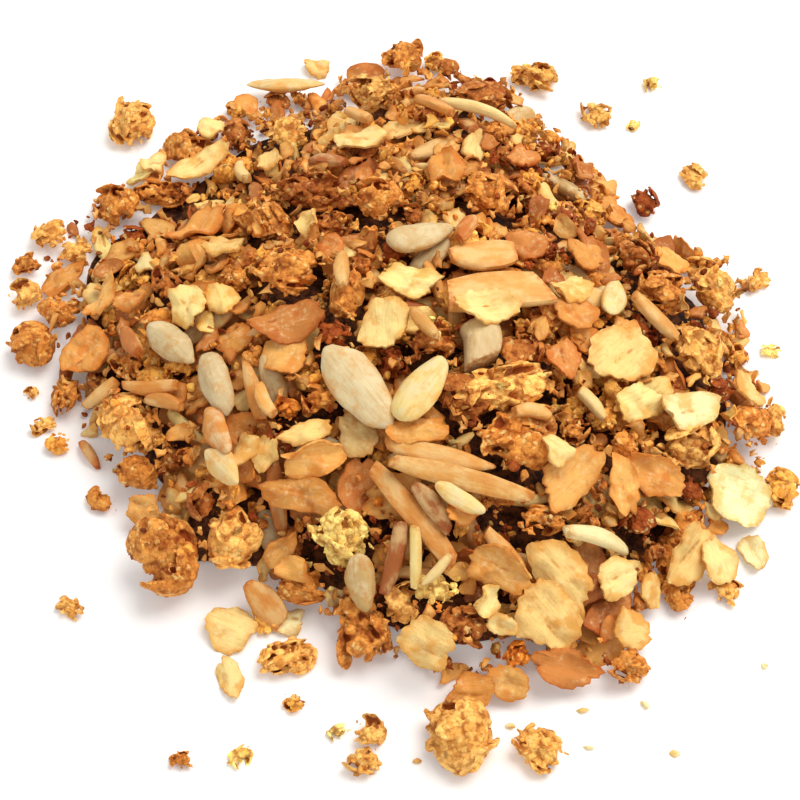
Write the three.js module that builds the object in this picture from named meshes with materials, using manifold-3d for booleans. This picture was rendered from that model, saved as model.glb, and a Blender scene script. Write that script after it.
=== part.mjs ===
// Granola: a loose heap as it was poured on a flat surface. Toasted oat flakes, crumbly clusters,
// sunflower kernels and almond slivers lie over one another, and some pieces have rolled clear.
//
// Millimetres, +Z up. The surface is z = 0, and the origin is under the middle of all that lies on it.
// The pieces that show are placed from where they stand in the photograph: a pixel is carried along
// its line of sight to the heap's own surface. Seeded draws fill the places between them.

import * as THREE from "three";
import { mergeVertices } from "three/addons/utils/BufferGeometryUtils.js";
import Module from "manifold-3d";

const wasm = await Module();
wasm.setup();

// ---------------------------------------------------------------- driving dimensions, millimetres

const CREST = 15.5; // how far the mound rises over the single layer round its foot
const MOUND_POWER = 1.1; // how full the slope is between the crest and the foot
const LAYER = 1.5; // depth of that single layer, under the pieces that lie on it
const THIN_MIDDLE = 2.36; // direction, in radians, where the mound stays furthest back from the foot
const THIN_SPREAD = 0.6; // half width of that thin sector, in radians
const THIN_DEPTH = 0.22; // how far the mound stays back there, as a share of the foot's distance
const CORE_REACH = 0.95; // the packed bed ends this far out, as a share of the foot's distance
const CORE_SPOKES = 40;
const CORE_RINGS = 9;
const CORE_BUMP = 0.7; // height of the bumps between the showing pieces

const OAT_THICK = 1.15;
const CHIP_THICK = 1.0;
const SLIVER_THICK = 1.5;
const SEED_FLATNESS = 0.62; // a kernel's thickness over its width
const OAT_SIDES = 8;
const CHIP_SIDES = 5;
const SEED_SIDES = 6;
const RAGGED = 0.16; // how uneven a flake's rim is
const WAVE = 0.45; // how far a flake's rim waves out of its plane
const SMALL_CLUSTER = 5.1; // mean size under which a cluster is a single plain crumb
const GOLDEN_TURN = 2.4; // turn from one knob to the next, in radians

const LET_DOWN = 0.25; // step in which a piece comes down on to the others
const GRIP = 1.2; // how much of a piece, in cubic millimetres, its neighbours hold
const FILL_PITCH = 7.3; // spacing of the pieces between the placed ones
const FILL_CLEAR = 4.8; // no fill piece comes this close to the middle of a placed one
const FILL_REACH = 0.94; // the fill pieces go this far out, as a share of the foot's distance
const SETTLE_TILT = 0.32; // how far a piece leans off the slope that it lies on
const FACE_VIEW = 0.3; // how far the showing pieces lie with their flats to the open side
const FLAT_SHARE = 0.13; // share of a loose piece's height that its flat foot takes off
const NEIGHBOUR_GAP = 0.3; // room between the heap and each loose piece

// -------------------------------------------------------- the photograph's view, and its pixels

const VIEW = {
  elevation: THREE.MathUtils.degToRad(58),
  distance: 250,
  focalPx: 2000,
  centrePx: 400,
  aim: new THREE.Vector3(0.57, -3.46, 0),
};
const SIGHT = new THREE.Vector3(0, Math.cos(VIEW.elevation), -Math.sin(VIEW.elevation));
const PICTURE_UP = new THREE.Vector3(0, Math.sin(VIEW.elevation), Math.cos(VIEW.elevation));
const PICTURE_RIGHT = new THREE.Vector3(1, 0, 0);

/** The point at height z that the pixel (px, py) shows. */
function underPixel(px, py, z) {
  const ray = SIGHT.clone()
    .addScaledVector(PICTURE_RIGHT, (px - VIEW.centrePx) / VIEW.focalPx)
    .addScaledVector(PICTURE_UP, (VIEW.centrePx - py) / VIEW.focalPx);
  const eye = VIEW.aim.clone().addScaledVector(SIGHT, -VIEW.distance);
  return eye.addScaledVector(ray, (z - eye.z) / ray.z);
}

// The foot of the heap, anticlockwise in the photograph from its left end.
const HEAP_MIDDLE = { px: 415, py: 385 };
const FOOT = [
  { px: 22, py: 330 },
  { px: 52, py: 400 },
  { px: 92, py: 470 },
  { px: 135, py: 530 },
  { px: 135, py: 592 },
  { px: 205, py: 598 },
  { px: 272, py: 602 },
  { px: 330, py: 645 },
  { px: 400, py: 680 },
  { px: 440, py: 700 },
  { px: 510, py: 692 },
  { px: 575, py: 680 },
  { px: 640, py: 682 },
  { px: 655, py: 620 },
  { px: 712, py: 590 },
  { px: 742, py: 530 },
  { px: 778, py: 480 },
  { px: 786, py: 415 },
  { px: 766, py: 360 },
  { px: 752, py: 300 },
  { px: 708, py: 258 },
  { px: 655, py: 230 },
  { px: 605, py: 172 },
  { px: 560, py: 130 },
  { px: 505, py: 78 },
  { px: 440, py: 52 },
  { px: 385, py: 58 },
  { px: 300, py: 84 },
  { px: 232, py: 100 },
  { px: 175, py: 140 },
  { px: 100, py: 192 },
  { px: 38, py: 232 },
];

// ------------------------------------------------------------------------ the heap's own form

const middle = underPixel(HEAP_MIDDLE.px, HEAP_MIDDLE.py, 0);

const foot = FOOT.map(({ px, py }) => {
  const at = underPixel(px, py, 0);
  return {
    angle: Math.atan2(at.y - middle.y, at.x - middle.x),
    radius: Math.hypot(at.x - middle.x, at.y - middle.y),
  };
}).sort((a, b) => a.angle - b.angle);

/** Distance from the middle to the foot of the heap in a direction. */
function footRadius(angle) {
  const after = foot.findIndex((point) => point.angle > angle);
  const next = foot[after < 0 ? 0 : after];
  const last = foot[(after < 0 ? foot.length : after || foot.length) - 1];
  const turn = 2 * Math.PI;
  const span = (next.angle - last.angle + turn) % turn;
  const share = ((angle - last.angle + turn) % turn) / span;
  const ease = (1 - Math.cos(Math.PI * share)) / 2;
  return last.radius + (next.radius - last.radius) * ease;
}

/** How much of the way to the foot the mound takes up in a direction. */
function moundShare(angle) {
  const off = Math.atan2(Math.sin(angle - THIN_MIDDLE), Math.cos(angle - THIN_MIDDLE));
  return 1 - THIN_DEPTH * Math.exp(-((off / THIN_SPREAD) ** 2));
}

/** How far out a place is, as a share of the foot's distance. */
function outShare(x, y) {
  const angle = Math.atan2(y - middle.y, x - middle.x);
  return Math.hypot(x - middle.x, y - middle.y) / footRadius(angle);
}

/** Height of the packed bed that the showing pieces lie on. */
function bedHeight(x, y) {
  const out = outShare(x, y);
  const share = out / moundShare(Math.atan2(y - middle.y, x - middle.x));
  const mound = share < 1 ? CREST * (1 - share ** 2) ** MOUND_POWER : 0;
  return mound + (out < 1 ? LAYER * (1 - out ** 6) : 0);
}

/** Which way the bed faces. */
function bedNormal(x, y) {
  const step = 3;
  return new THREE.Vector3(
    bedHeight(x - step, y) - bedHeight(x + step, y),
    bedHeight(x, y - step) - bedHeight(x, y + step),
    2 * step,
  ).normalize();
}

/** The point on the bed, raised by lift, that a pixel shows. */
function onBed(px, py, lift) {
  let at = underPixel(px, py, lift);
  for (let pass = 0; pass < 12; pass += 1) {
    at = underPixel(px, py, (at.z + bedHeight(at.x, at.y) + lift) / 2);
  }
  return at;
}

// -------------------------------------------------------------------------------- seeded draws

/** A repeatable stream of numbers from 0 to 1. */
function draws(seed) {
  let state = seed;
  return () => {
    state = (state + 0x6d2b79f5) | 0;
    let mixed = Math.imul(state ^ (state >>> 15), 1 | state);
    mixed = (mixed + Math.imul(mixed ^ (mixed >>> 7), 61 | mixed)) ^ mixed;
    return ((mixed ^ (mixed >>> 14)) >>> 0) / 4294967296;
  };
}

const draw = draws(20);
const around = (size) => (draw() - 0.5) * 2 * size;

// -------------------------------------------------------------------------- shapes of the pieces
// Each is made about its own middle: x along its length, y across it, z through its thickness.

/** A closed skin over rings of equal size, from one end point to the other. */
function loft(start, rings, end) {
  const sides = rings[0].length;
  const points = [start, ...rings.flat(), end];
  const faces = [];
  for (let i = 0; i < sides; i += 1) {
    const j = (i + 1) % sides;
    faces.push(0, 1 + j, 1 + i);
    for (let k = 0; k + 1 < rings.length; k += 1) {
      const low = 1 + k * sides;
      const high = low + sides;
      faces.push(low + i, low + j, high + j, low + i, high + j, high + i);
    }
    const top = 1 + (rings.length - 1) * sides;
    faces.push(top + i, top + j, points.length - 1);
  }
  const shape = new THREE.BufferGeometry();
  shape.setAttribute("position", new THREE.Float32BufferAttribute(points.flatMap((p) => [p.x, p.y, p.z]), 3));
  shape.setIndex(faces);
  return shape;
}

/** A flake: two wavy faces over one ragged outline. */
function flake(long, wide, thick, sides) {
  const bend = around(WAVE);
  const rim = Array.from({ length: sides }, (_, i) => {
    const angle = (i / sides) * 2 * Math.PI + around(0.12);
    const grow = 1 + around(RAGGED);
    return new THREE.Vector3(
      Math.cos(angle) * (long / 2) * grow,
      Math.sin(angle) * (wide / 2) * grow,
      bend * Math.cos(2 * angle) + around(WAVE / 3),
    );
  });
  const face = (z) => rim.map((p) => new THREE.Vector3(p.x, p.y, p.z + z));
  const low = new THREE.Vector3(0, 0, -0.6 * thick);
  const high = new THREE.Vector3(0, 0, 0.6 * thick);
  return loft(low, [face(-0.35 * thick), face(0.35 * thick)], high);
}

/** A ring of points round the x axis, for what is long and slender. */
function hoop(x, wide, thick, sides) {
  return Array.from({ length: sides }, (_, i) => {
    const angle = ((i + 0.5) / sides) * 2 * Math.PI;
    return new THREE.Vector3(x, Math.cos(angle) * (wide / 2), Math.sin(angle) * (thick / 2));
  });
}

/** A sunflower kernel: blunt at one end, pointed at the other. */
function kernel(long, wide) {
  const stations = [
    { along: -0.38, girth: 0.62 },
    { along: -0.12, girth: 1 },
    { along: 0.22, girth: 0.74 },
  ];
  const rings = stations.map(({ along, girth }) =>
    hoop(along * long, girth * wide, girth * wide * SEED_FLATNESS, SEED_SIDES));
  return loft(new THREE.Vector3(-long / 2, 0, 0), rings, new THREE.Vector3(long / 2, 0, 0));
}

/** A cut almond sliver or plank: a bowed stick of four sides with thin ends. */
function sliver(long, wide, thick) {
  const bow = around(0.05) * long;
  const stations = [
    { along: -0.42, girth: 0.6 },
    { along: -0.05, girth: 1.15 },
    { along: 0.4, girth: 0.8 },
  ];
  const corner = Math.SQRT2;
  const rings = stations.map(({ along, girth }) =>
    hoop(along * long, girth * wide * corner, thick * corner, 4));
  const shape = loft(new THREE.Vector3(-long / 2, 0, 0), rings, new THREE.Vector3(long / 2, 0, 0));
  const place = shape.getAttribute("position");
  for (let i = 0; i < place.count; i += 1) {
    place.setZ(i, place.getZ(i) + bow * (1 - (2 * place.getX(i) / long) ** 2));
  }
  return shape;
}

/** One uneven knob. */
function knob(long, wide, high, detail, roughness) {
  const shape = bare(new THREE.IcosahedronGeometry(0.5, detail));
  const place = shape.getAttribute("position");
  for (let i = 0; i < place.count; i += 1) {
    const grow = 1 + around(roughness);
    place.setXYZ(i, place.getX(i) * long * grow, place.getY(i) * wide * grow, place.getZ(i) * high * grow);
  }
  return shape;
}

/** A geometry with its positions alone, and each shared corner once. */
function bare(geometry) {
  geometry.deleteAttribute("normal");
  geometry.deleteAttribute("uv");
  return mergeVertices(geometry, 1e-4);
}

// -------------------------------------------------------------------------- joining and cutting

/** The closed solid inside a geometry. */
function solid(geometry) {
  return new wasm.Manifold(new wasm.Mesh({
    numProp: 3,
    vertProperties: new Float32Array(geometry.getAttribute("position").array),
    triVerts: new Uint32Array(geometry.index.array),
  }));
}

/** The geometry of a closed solid. */
function geometryOf(body) {
  const mesh = body.getMesh();
  const shape = new THREE.BufferGeometry();
  shape.setAttribute("position", new THREE.Float32BufferAttribute(mesh.vertProperties, 3));
  shape.setIndex(Array.from(mesh.triVerts));
  return shape;
}

/** The largest body of a solid, without loose scraps and without sealed hollows. */
function largest(body) {
  return body.decompose().reduce((best, next) => (next.volume() > best.volume() ? next : best));
}

/** A crumbly cluster: an uneven body, with knobs spread over its upper side. */
function cluster(long, wide, high, knobs = 0) {
  const size = Math.cbrt(long * wide * high);
  if (size < SMALL_CLUSTER) {
    return solid(knob(long, wide, high, 0, 0.14));
  }
  let body = solid(knob(long, wide, high, 1, 0.16));
  for (let i = 0; i < knobs; i += 1) {
    const angle = i * GOLDEN_TURN + around(0.3);
    const rise = ((i + 0.5) / knobs) * 0.8;
    const flat = Math.sqrt(1 - rise ** 2);
    const girth = size * (0.42 + around(0.06));
    const lump = knob(girth, girth, girth * 0.8, 0, 0.12);
    lump.translate(
      Math.cos(angle) * flat * long * 0.38,
      Math.sin(angle) * flat * wide * 0.38,
      rise * high * 0.38,
    );
    body = body.add(solid(lump));
  }
  return body;
}

const FLOOR_SIZE = 400;
const aboveFloor = solid(bare(new THREE.BoxGeometry(FLOOR_SIZE, FLOOR_SIZE, FLOOR_SIZE)
  .translate(0, 0, FLOOR_SIZE / 2)));

// ------------------------------------------------------------------------- the pieces that show
// px, py: the piece's middle in the photograph. turn: degrees that its long side falls to the right.
// Sizes are the piece's own, in millimetres.

const KERNELS = [
  { px: 418, py: 235, long: 8.4, wide: 4.4, turn: -12 },
  { px: 358, py: 385, long: 12, wide: 6.3, turn: 50 },
  { px: 421, py: 387, long: 8.6, wide: 5, turn: -60 },
  { px: 171, py: 339, long: 9.2, wide: 4.2, turn: 38 },
  { px: 216, py: 384, long: 9, wide: 4, turn: 65 },
  { px: 615, py: 297, long: 6.8, wide: 2.8, turn: -70 },
  { px: 362, py: 580, long: 6.4, wide: 4, turn: 82 },
  { px: 217, py: 429, long: 7.4, wide: 3.8, turn: 60 },
  { px: 461, py: 492, long: 6, wide: 2.4, turn: 30 },
  { px: 222, py: 465, long: 6, wide: 4, turn: 42 },
  { px: 285, py: 84, long: 11, wide: 3.2, turn: 0 },
];

const OATS = [
  { px: 384, py: 324, long: 7.6, wide: 6.6, turn: 85 },
  { px: 487, py: 307, long: 8.2, wide: 5.2, turn: 0 },
  { px: 412, py: 282, long: 7.8, wide: 5.2, turn: 10 },
  { px: 285, py: 352, long: 6.6, wide: 5.8, turn: 88 },
  { px: 285, py: 320, long: 9.8, wide: 5.8, turn: -10 },
  { px: 572, py: 286, long: 6.8, wide: 4.4, turn: -15 },
  { px: 575, py: 311, long: 6, wide: 5, turn: 0 },
  { px: 563, py: 358, long: 5.4, wide: 4.4, turn: 80 },
  { px: 622, py: 357, long: 9.6, wide: 8.2, turn: -35 },
  { px: 223, py: 299, long: 5.4, wide: 4.2, turn: 70 },
  { px: 185, py: 306, long: 6.4, wide: 5.4, turn: 60 },
  { px: 362, py: 139, long: 7.6, wide: 5, turn: 0 },
  { px: 197, py: 162, long: 9.4, wide: 4.6, turn: -30 },
  { px: 212, py: 128, long: 3.9, wide: 3.2, turn: 0 },
  { px: 85, py: 352, long: 7.4, wide: 7.2, turn: 30 },
  { px: 195, py: 225, long: 9.2, wide: 6.2, turn: -40 },
  { px: 738, py: 494, long: 9.6, wide: 7.6, turn: 20 },
  { px: 543, py: 615, long: 9.8, wide: 8, turn: 50 },
  { px: 616, py: 577, long: 6.2, wide: 4.8, turn: -25 },
  { px: 565, py: 571, long: 11, wide: 6, turn: 48 },
  { px: 428, py: 643, long: 7.2, wide: 5.8, turn: 30 },
  { px: 690, py: 548, long: 8.4, wide: 6.8, turn: -55 },
  { px: 719, py: 560, long: 6, wide: 5, turn: 70 },
  { px: 655, py: 475, long: 9, wide: 5, turn: 25 },
  { px: 624, py: 484, long: 7.4, wide: 4.2, turn: 75 },
  { px: 571, py: 477, long: 10.4, wide: 5.8, turn: -42 },
  { px: 640, py: 403, long: 6.4, wide: 5.4, turn: -20 },
  { px: 688, py: 408, long: 10.6, wide: 5.2, turn: -8 },
  { px: 500, py: 566, long: 7.8, wide: 6, turn: 28 },
  { px: 418, py: 428, long: 7.4, wide: 4, turn: 0 },
  { px: 302, py: 494, long: 9.8, wide: 5, turn: 12 },
  { px: 355, py: 435, long: 6, wide: 5, turn: 40 },
  { px: 267, py: 452, long: 5.4, wide: 3.2, turn: -75 },
  { px: 244, py: 447, long: 5, wide: 3, turn: -60 },
  { px: 305, py: 430, long: 6.6, wide: 3.2, turn: -12 },
  { px: 143, py: 503, long: 5.8, wide: 4.4, turn: 25 },
  { px: 750, py: 388, long: 5.6, wide: 4.6, turn: 70 },
  { px: 447, py: 168, long: 6.8, wide: 4.6, turn: 80 },
  { px: 521, py: 157, long: 5, wide: 4.6, turn: -30 },
  { px: 582, py: 167, long: 4.8, wide: 3.4, turn: 80 },
  { px: 527, py: 242, long: 5.4, wide: 5, turn: 20 },
  { px: 585, py: 253, long: 5.4, wide: 4.8, turn: 40 },
  { px: 672, py: 255, long: 5.4, wide: 4.4, turn: 60 },
  { px: 130, py: 297, long: 4.8, wide: 4, turn: 0 },
  { px: 100, py: 295, long: 8.4, wide: 3.6, turn: -65 },
  { px: 224, py: 245, long: 5.6, wide: 5.2, turn: 0 },
  { px: 310, py: 222, long: 4.4, wide: 3.8, turn: 30 },
  { px: 268, py: 160, long: 6.4, wide: 4.2, turn: 80 },
  { px: 508, py: 682, long: 5, wide: 4.2, turn: 20 },
  { px: 470, py: 668, long: 5.8, wide: 4.8, turn: 0 },
  { px: 568, py: 664, long: 8.6, wide: 4.8, turn: 18 },
  { px: 630, py: 628, long: 6, wide: 5, turn: 10 },
  { px: 650, py: 590, long: 4.4, wide: 3.6, turn: 80 },
  { px: 490, py: 600, long: 4.2, wide: 3.4, turn: -60 },
  { px: 278, py: 530, long: 5.4, wide: 3, turn: -50 },
];

const SLIVERS = [
  { px: 462, py: 475, long: 17, wide: 2.8, turn: 15 },
  { px: 440, py: 453, long: 13, wide: 2.8, turn: 12 },
  { px: 412, py: 514, long: 15, wide: 2.8, turn: 50 },
  { px: 432, py: 496, long: 6.8, wide: 2.4, turn: 50 },
  { px: 507, py: 528, long: 6.4, wide: 2, turn: 45 },
  { px: 413, py: 556, long: 7.2, wide: 1.4, turn: 93 },
  { px: 393, py: 556, long: 8.6, wide: 2, turn: 102 },
  { px: 478, py: 110, long: 11, wide: 1.6, turn: 18 },
  { px: 435, py: 105, long: 6, wide: 2, turn: 27 },
  { px: 483, py: 253, long: 8.4, wide: 4, turn: -5 },
  { px: 497, py: 289, long: 12.4, wide: 5.4, turn: -6 },
  { px: 655, py: 316, long: 7.6, wide: 2.4, turn: 45 },
  { px: 252, py: 390, long: 7.8, wide: 2, turn: 75 },
  { px: 150, py: 385, long: 7.6, wide: 1.8, turn: 0 },
  { px: 344, py: 268, long: 5.8, wide: 1.8, turn: 85 },
  { px: 533, py: 413, long: 4.8, wide: 1.6, turn: 5 },
  { px: 600, py: 538, long: 9.6, wide: 2.2, turn: 20 },
  { px: 262, py: 586, long: 6.4, wide: 4, turn: 50 },
];

const CLUSTERS = [
  { px: 130, py: 425, long: 9.6, wide: 7.4, high: 6, turn: 30 },
  { px: 165, py: 556, long: 9.8, wide: 8.6, high: 6.4, turn: 80 },
  { px: 235, py: 535, long: 8.2, wide: 6.6, high: 5.4, turn: 85 },
  { px: 342, py: 537, long: 8, wide: 7, high: 5.2, turn: 30 },
  { px: 357, py: 630, long: 8, wide: 7.2, high: 5.2, turn: 60 },
  { px: 373, py: 92, long: 6.9, wide: 6, high: 5, turn: 0 },
  { px: 402, py: 60, long: 6, wide: 5, high: 4.2, turn: 0 },
  { px: 378, py: 200, long: 6.6, wide: 5.8, high: 4.6, turn: 0 },
  { px: 313, py: 190, long: 8.8, wide: 5.6, high: 4.8, turn: 0 },
  { px: 267, py: 218, long: 6.6, wide: 5.8, high: 4.6, turn: 0 },
  { px: 286, py: 132, long: 6.6, wide: 6, high: 4.4, turn: 60 },
  { px: 490, py: 190, long: 7.6, wide: 7.4, high: 5, turn: 0 },
  { px: 483, py: 97, long: 8.6, wide: 5, high: 4.4, turn: 0 },
  { px: 448, py: 68, long: 4, wide: 3.2, high: 3, turn: 0 },
  { px: 347, py: 288, long: 8.4, wide: 4.4, high: 4, turn: 88 },
  { px: 288, py: 270, long: 9.4, wide: 7.2, high: 5, turn: 0 },
  { px: 478, py: 342, long: 6.8, wide: 5.4, high: 4.4, turn: 85 },
  { px: 503, py: 392, long: 13, wide: 6.4, high: 5, turn: -10 },
  { px: 465, py: 395, long: 6.6, wide: 5.6, high: 4.8, turn: 0 },
  { px: 516, py: 440, long: 10, wide: 6.6, high: 5.2, turn: 5 },
  { px: 690, py: 447, long: 8.4, wide: 5.8, high: 5, turn: -15 },
  { px: 665, py: 290, long: 8.6, wide: 5.8, high: 4.6, turn: 0 },
  { px: 634, py: 253, long: 6.4, wide: 5, high: 4.2, turn: 0 },
  { px: 710, py: 283, long: 8.4, wide: 7, high: 5, turn: 70 },
  { px: 703, py: 350, long: 8, wide: 7.8, high: 5.4, turn: 0 },
  { px: 752, py: 424, long: 5.8, wide: 5.2, high: 4.2, turn: 0 },
  { px: 776, py: 424, long: 5.4, wide: 3.4, high: 3.2, turn: 80 },
  { px: 32, py: 347, long: 7, wide: 6, high: 4.6, turn: 0 },
  { px: 60, py: 312, long: 5.6, wide: 4, high: 3.8, turn: 0 },
  { px: 26, py: 300, long: 5, wide: 4.4, high: 3.4, turn: 20 },
  { px: 167, py: 282, long: 4.6, wide: 3.8, high: 3.4, turn: 80 },
  { px: 66, py: 395, long: 5.6, wide: 4.4, high: 3.6, turn: 85 },
  { px: 115, py: 207, long: 6.8, wide: 6.2, high: 4.2, turn: 0 },
  { px: 160, py: 193, long: 7, wide: 3.8, high: 3.6, turn: 0 },
  { px: 50, py: 236, long: 4.8, wide: 4.4, high: 3, turn: 0 },
  { px: 78, py: 252, long: 4.8, wide: 3.6, high: 2.8, turn: 0 },
  { px: 28, py: 266, long: 4.6, wide: 3.6, high: 2.8, turn: 0 },
  { px: 432, py: 345, long: 5.6, wide: 4, high: 3.6, turn: 0 },
  { px: 522, py: 353, long: 5.6, wide: 5, high: 3.8, turn: 0 },
  { px: 318, py: 400, long: 4.6, wide: 4, high: 3.4, turn: 0 },
  { px: 303, py: 588, long: 5.8, wide: 4, high: 3.4, turn: 0 },
  { px: 463, py: 627, long: 5.6, wide: 5, high: 3.8, turn: 0 },
  { px: 628, py: 666, long: 5.6, wide: 4.2, high: 3.4, turn: 0 },
  { px: 640, py: 525, long: 4.8, wide: 4.2, high: 3.4, turn: 45 },
  { px: 548, py: 151, long: 3.8, wide: 3.6, high: 3.2, turn: 0 },
  { px: 646, py: 205, long: 4.4, wide: 3.8, high: 3.4, turn: 80 },
  { px: 402, py: 603, long: 4.8, wide: 4.4, high: 3.6, turn: 80 },
  { px: 437, py: 588, long: 5, wide: 3.6, high: 3, turn: 0 },
  { px: 498, py: 497, long: 4.8, wide: 3.6, high: 3.2, turn: 10 },
  { px: 543, py: 520, long: 5.2, wide: 3.4, high: 3, turn: 10 },
  { px: 203, py: 505, long: 4.8, wide: 4.2, high: 3.4, turn: 60 },
  { px: 135, py: 472, long: 6.4, wide: 4.2, high: 3.8, turn: 0 },
  { px: 627, py: 448, long: 4.4, wide: 3.8, high: 3.2, turn: 60 },
];

// What rolled clear of the heap, each in its place on the surface: wavy ones are flakes, the rest lumps.
const LOOSE = {
  loose_cluster_back_left: { px: 131, py: 121, long: 8.2, wide: 6.6, high: 5, turn: 75, knobs: 5 },
  loose_cluster_back_right: { px: 534, py: 77, long: 6.8, wide: 4.6, high: 3.4, turn: 5, knobs: 3 },
  loose_chip_back_right: { px: 597, py: 112, long: 5.2, wide: 4.6, high: 2.2, turn: 40 },
  loose_crumb_far_back: { px: 653, py: 83, long: 2.7, wide: 2.6, high: 1.8, turn: 0 },
  loose_crumb_back: { px: 633, py: 125, long: 2.1, wide: 1.8, high: 1.2, turn: 0 },
  loose_chip_right_back: { px: 695, py: 175, long: 4.4, wide: 3.6, high: 2.2, turn: 70 },
  loose_curl_right: { px: 756, py: 280, long: 4, wide: 3.2, high: 1.8, turn: -30 },
  loose_crumb_right: { px: 771, py: 350, long: 2.5, wide: 2, high: 1.3, turn: 0 },
  loose_flake_right: { px: 752, py: 555, long: 4.6, wide: 3.8, high: 1, turn: 70, wavy: true },
  loose_chip_right_front: { px: 728, py: 589, long: 5, wide: 4, high: 2.2, turn: 60 },
  loose_cluster_right: { px: 783, py: 487, long: 5.8, wide: 4.6, high: 3.8, turn: 80, knobs: 2 },
  loose_crumbs_right_front: { px: 683, py: 598, long: 5, wide: 4, high: 3, turn: 70 },
  loose_cluster_front: { px: 459, py: 729, long: 9.2, wide: 8.4, high: 6.4, turn: 30, knobs: 9 },
  loose_cluster_front_right: { px: 540, py: 748, long: 6.6, wide: 5.4, high: 3.8, turn: 20, knobs: 3 },
  loose_knob_front: { px: 369, py: 732, long: 4.4, wide: 4, high: 3.2, turn: 60 },
  loose_chunk_front: { px: 362, py: 760, long: 4.6, wide: 3.6, high: 2.4, turn: 0 },
  loose_crumb_front_pale: { px: 339, py: 731, long: 2.9, wide: 1.9, high: 1.1, turn: -20 },
  loose_crumb_front: { px: 293, py: 703, long: 2.7, wide: 2.2, high: 1.7, turn: 20 },
  loose_cluster_front_left: { px: 287, py: 655, long: 7.2, wide: 4.8, high: 3.4, turn: -15, knobs: 3 },
  loose_flake_front_left: { px: 231, py: 630, long: 6.4, wide: 5.8, high: 1, turn: 20, wavy: true },
  loose_chip_front_left: { px: 264, py: 619, long: 4, wide: 3, high: 1.6, turn: 70 },
  loose_flake_front: { px: 290, py: 621, long: 4.2, wide: 3.8, high: 1, turn: 10, wavy: true },
  loose_shard_front_left: { px: 231, py: 679, long: 5.6, wide: 3, high: 1, turn: 65, wavy: true },
  loose_shard_left: { px: 71, py: 607, long: 3.6, wide: 2.6, high: 1.6, turn: 20 },
  loose_crumb_front_edge: { px: 182, py: 759, long: 3.2, wide: 2.4, high: 1.9, turn: 20 },
  loose_chip_front_edge: { px: 240, py: 757, long: 3.2, wide: 2.4, high: 1.1, turn: -30 },
  loose_crumbs_left: { px: 102, py: 500, long: 4.4, wide: 3, high: 2.2, turn: 20 },
  loose_crumb_left_near: { px: 42, py: 425, long: 3.5, wide: 2.3, high: 1.9, turn: -10 },
  loose_crumb_left_middle: { px: 57, py: 443, long: 3, wide: 2.8, high: 2, turn: 0 },
  loose_crumb_left_far: { px: 32, py: 393, long: 2.3, wide: 1.8, high: 1.3, turn: 0 },
};

// --------------------------------------------------------------------------------- setting down

/** A turn and a place: x along the picture direction, z along the given normal. */
function settle(at, turn, normal) {
  const swing = THREE.MathUtils.degToRad(turn);
  const along = PICTURE_RIGHT.clone().multiplyScalar(Math.cos(swing))
    .addScaledVector(PICTURE_UP, -Math.sin(swing));
  along.addScaledVector(SIGHT, -along.dot(normal) / SIGHT.dot(normal)).normalize();
  const across = new THREE.Vector3().crossVectors(normal, along);
  return new THREE.Matrix4().makeBasis(along, across, normal).setPosition(at);
}

/** Which way a piece on the heap lies: with the slope, leaning a little as it came to rest. */
function leaning(at, facing) {
  return bedNormal(at.x, at.y)
    .addScaledVector(SIGHT, -facing)
    .add(new THREE.Vector3(around(SETTLE_TILT), around(SETTLE_TILT), 0))
    .normalize();
}

/** A piece set down on the bed under a pixel. */
function layOn(shape, spot, lift, facing) {
  const at = onBed(spot.px, spot.py, lift);
  return shape.transform(settle(at, spot.turn, leaning(at, facing)).elements);
}

const showing = [
  ...CLUSTERS.map((spot) => layOn(cluster(spot.long, spot.wide, spot.high), spot, 0.3 * spot.high, 0)),
  ...OATS.map((spot) => layOn(solid(flake(spot.long, spot.wide, OAT_THICK, OAT_SIDES)), spot, 1.6, FACE_VIEW)),
  ...SLIVERS.map((spot) => layOn(solid(sliver(spot.long, spot.wide, SLIVER_THICK)), spot, 1.8, FACE_VIEW)),
  ...KERNELS.map((spot) => layOn(solid(kernel(spot.long, spot.wide)), spot, 2, FACE_VIEW)),
];
const taken = [...CLUSTERS, ...OATS, ...SLIVERS, ...KERNELS].map((spot) => onBed(spot.px, spot.py, 1));

/** Broken flakes, crumbs and short slivers in the places between, and all round the far side. */
function fillPieces() {
  const pieces = [];
  const reach = 60;
  for (let row = -reach; row <= reach; row += FILL_PITCH * 0.87) {
    for (let column = -reach; column <= reach; column += FILL_PITCH) {
      const x = middle.x + column + around(FILL_PITCH * 0.3);
      const y = middle.y + row + around(FILL_PITCH * 0.3);
      const kind = draw();
      const turn = draw() * 180;
      const size = 1 + around(0.2);
      if (outShare(x, y) > FILL_REACH) {
        continue;
      }
      if (taken.some((place) => Math.hypot(place.x - x, place.y - y) < FILL_CLEAR)) {
        continue;
      }
      const at = new THREE.Vector3(x, y, bedHeight(x, y) + 0.9);
      const pose = settle(at, turn, leaning(at, 0));
      if (kind < 0.55) {
        pieces.push(solid(flake(7.4 * size, 5.6 * size, CHIP_THICK, CHIP_SIDES)).transform(pose.elements));
      } else if (kind < 0.9) {
        pieces.push(cluster(4.4 * size, 3.8 * size, 3.2 * size).transform(pose.elements));
      } else {
        pieces.push(solid(sliver(7 * size, 1.8 * size, SLIVER_THICK)).transform(pose.elements));
      }
    }
  }
  return pieces;
}

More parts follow.
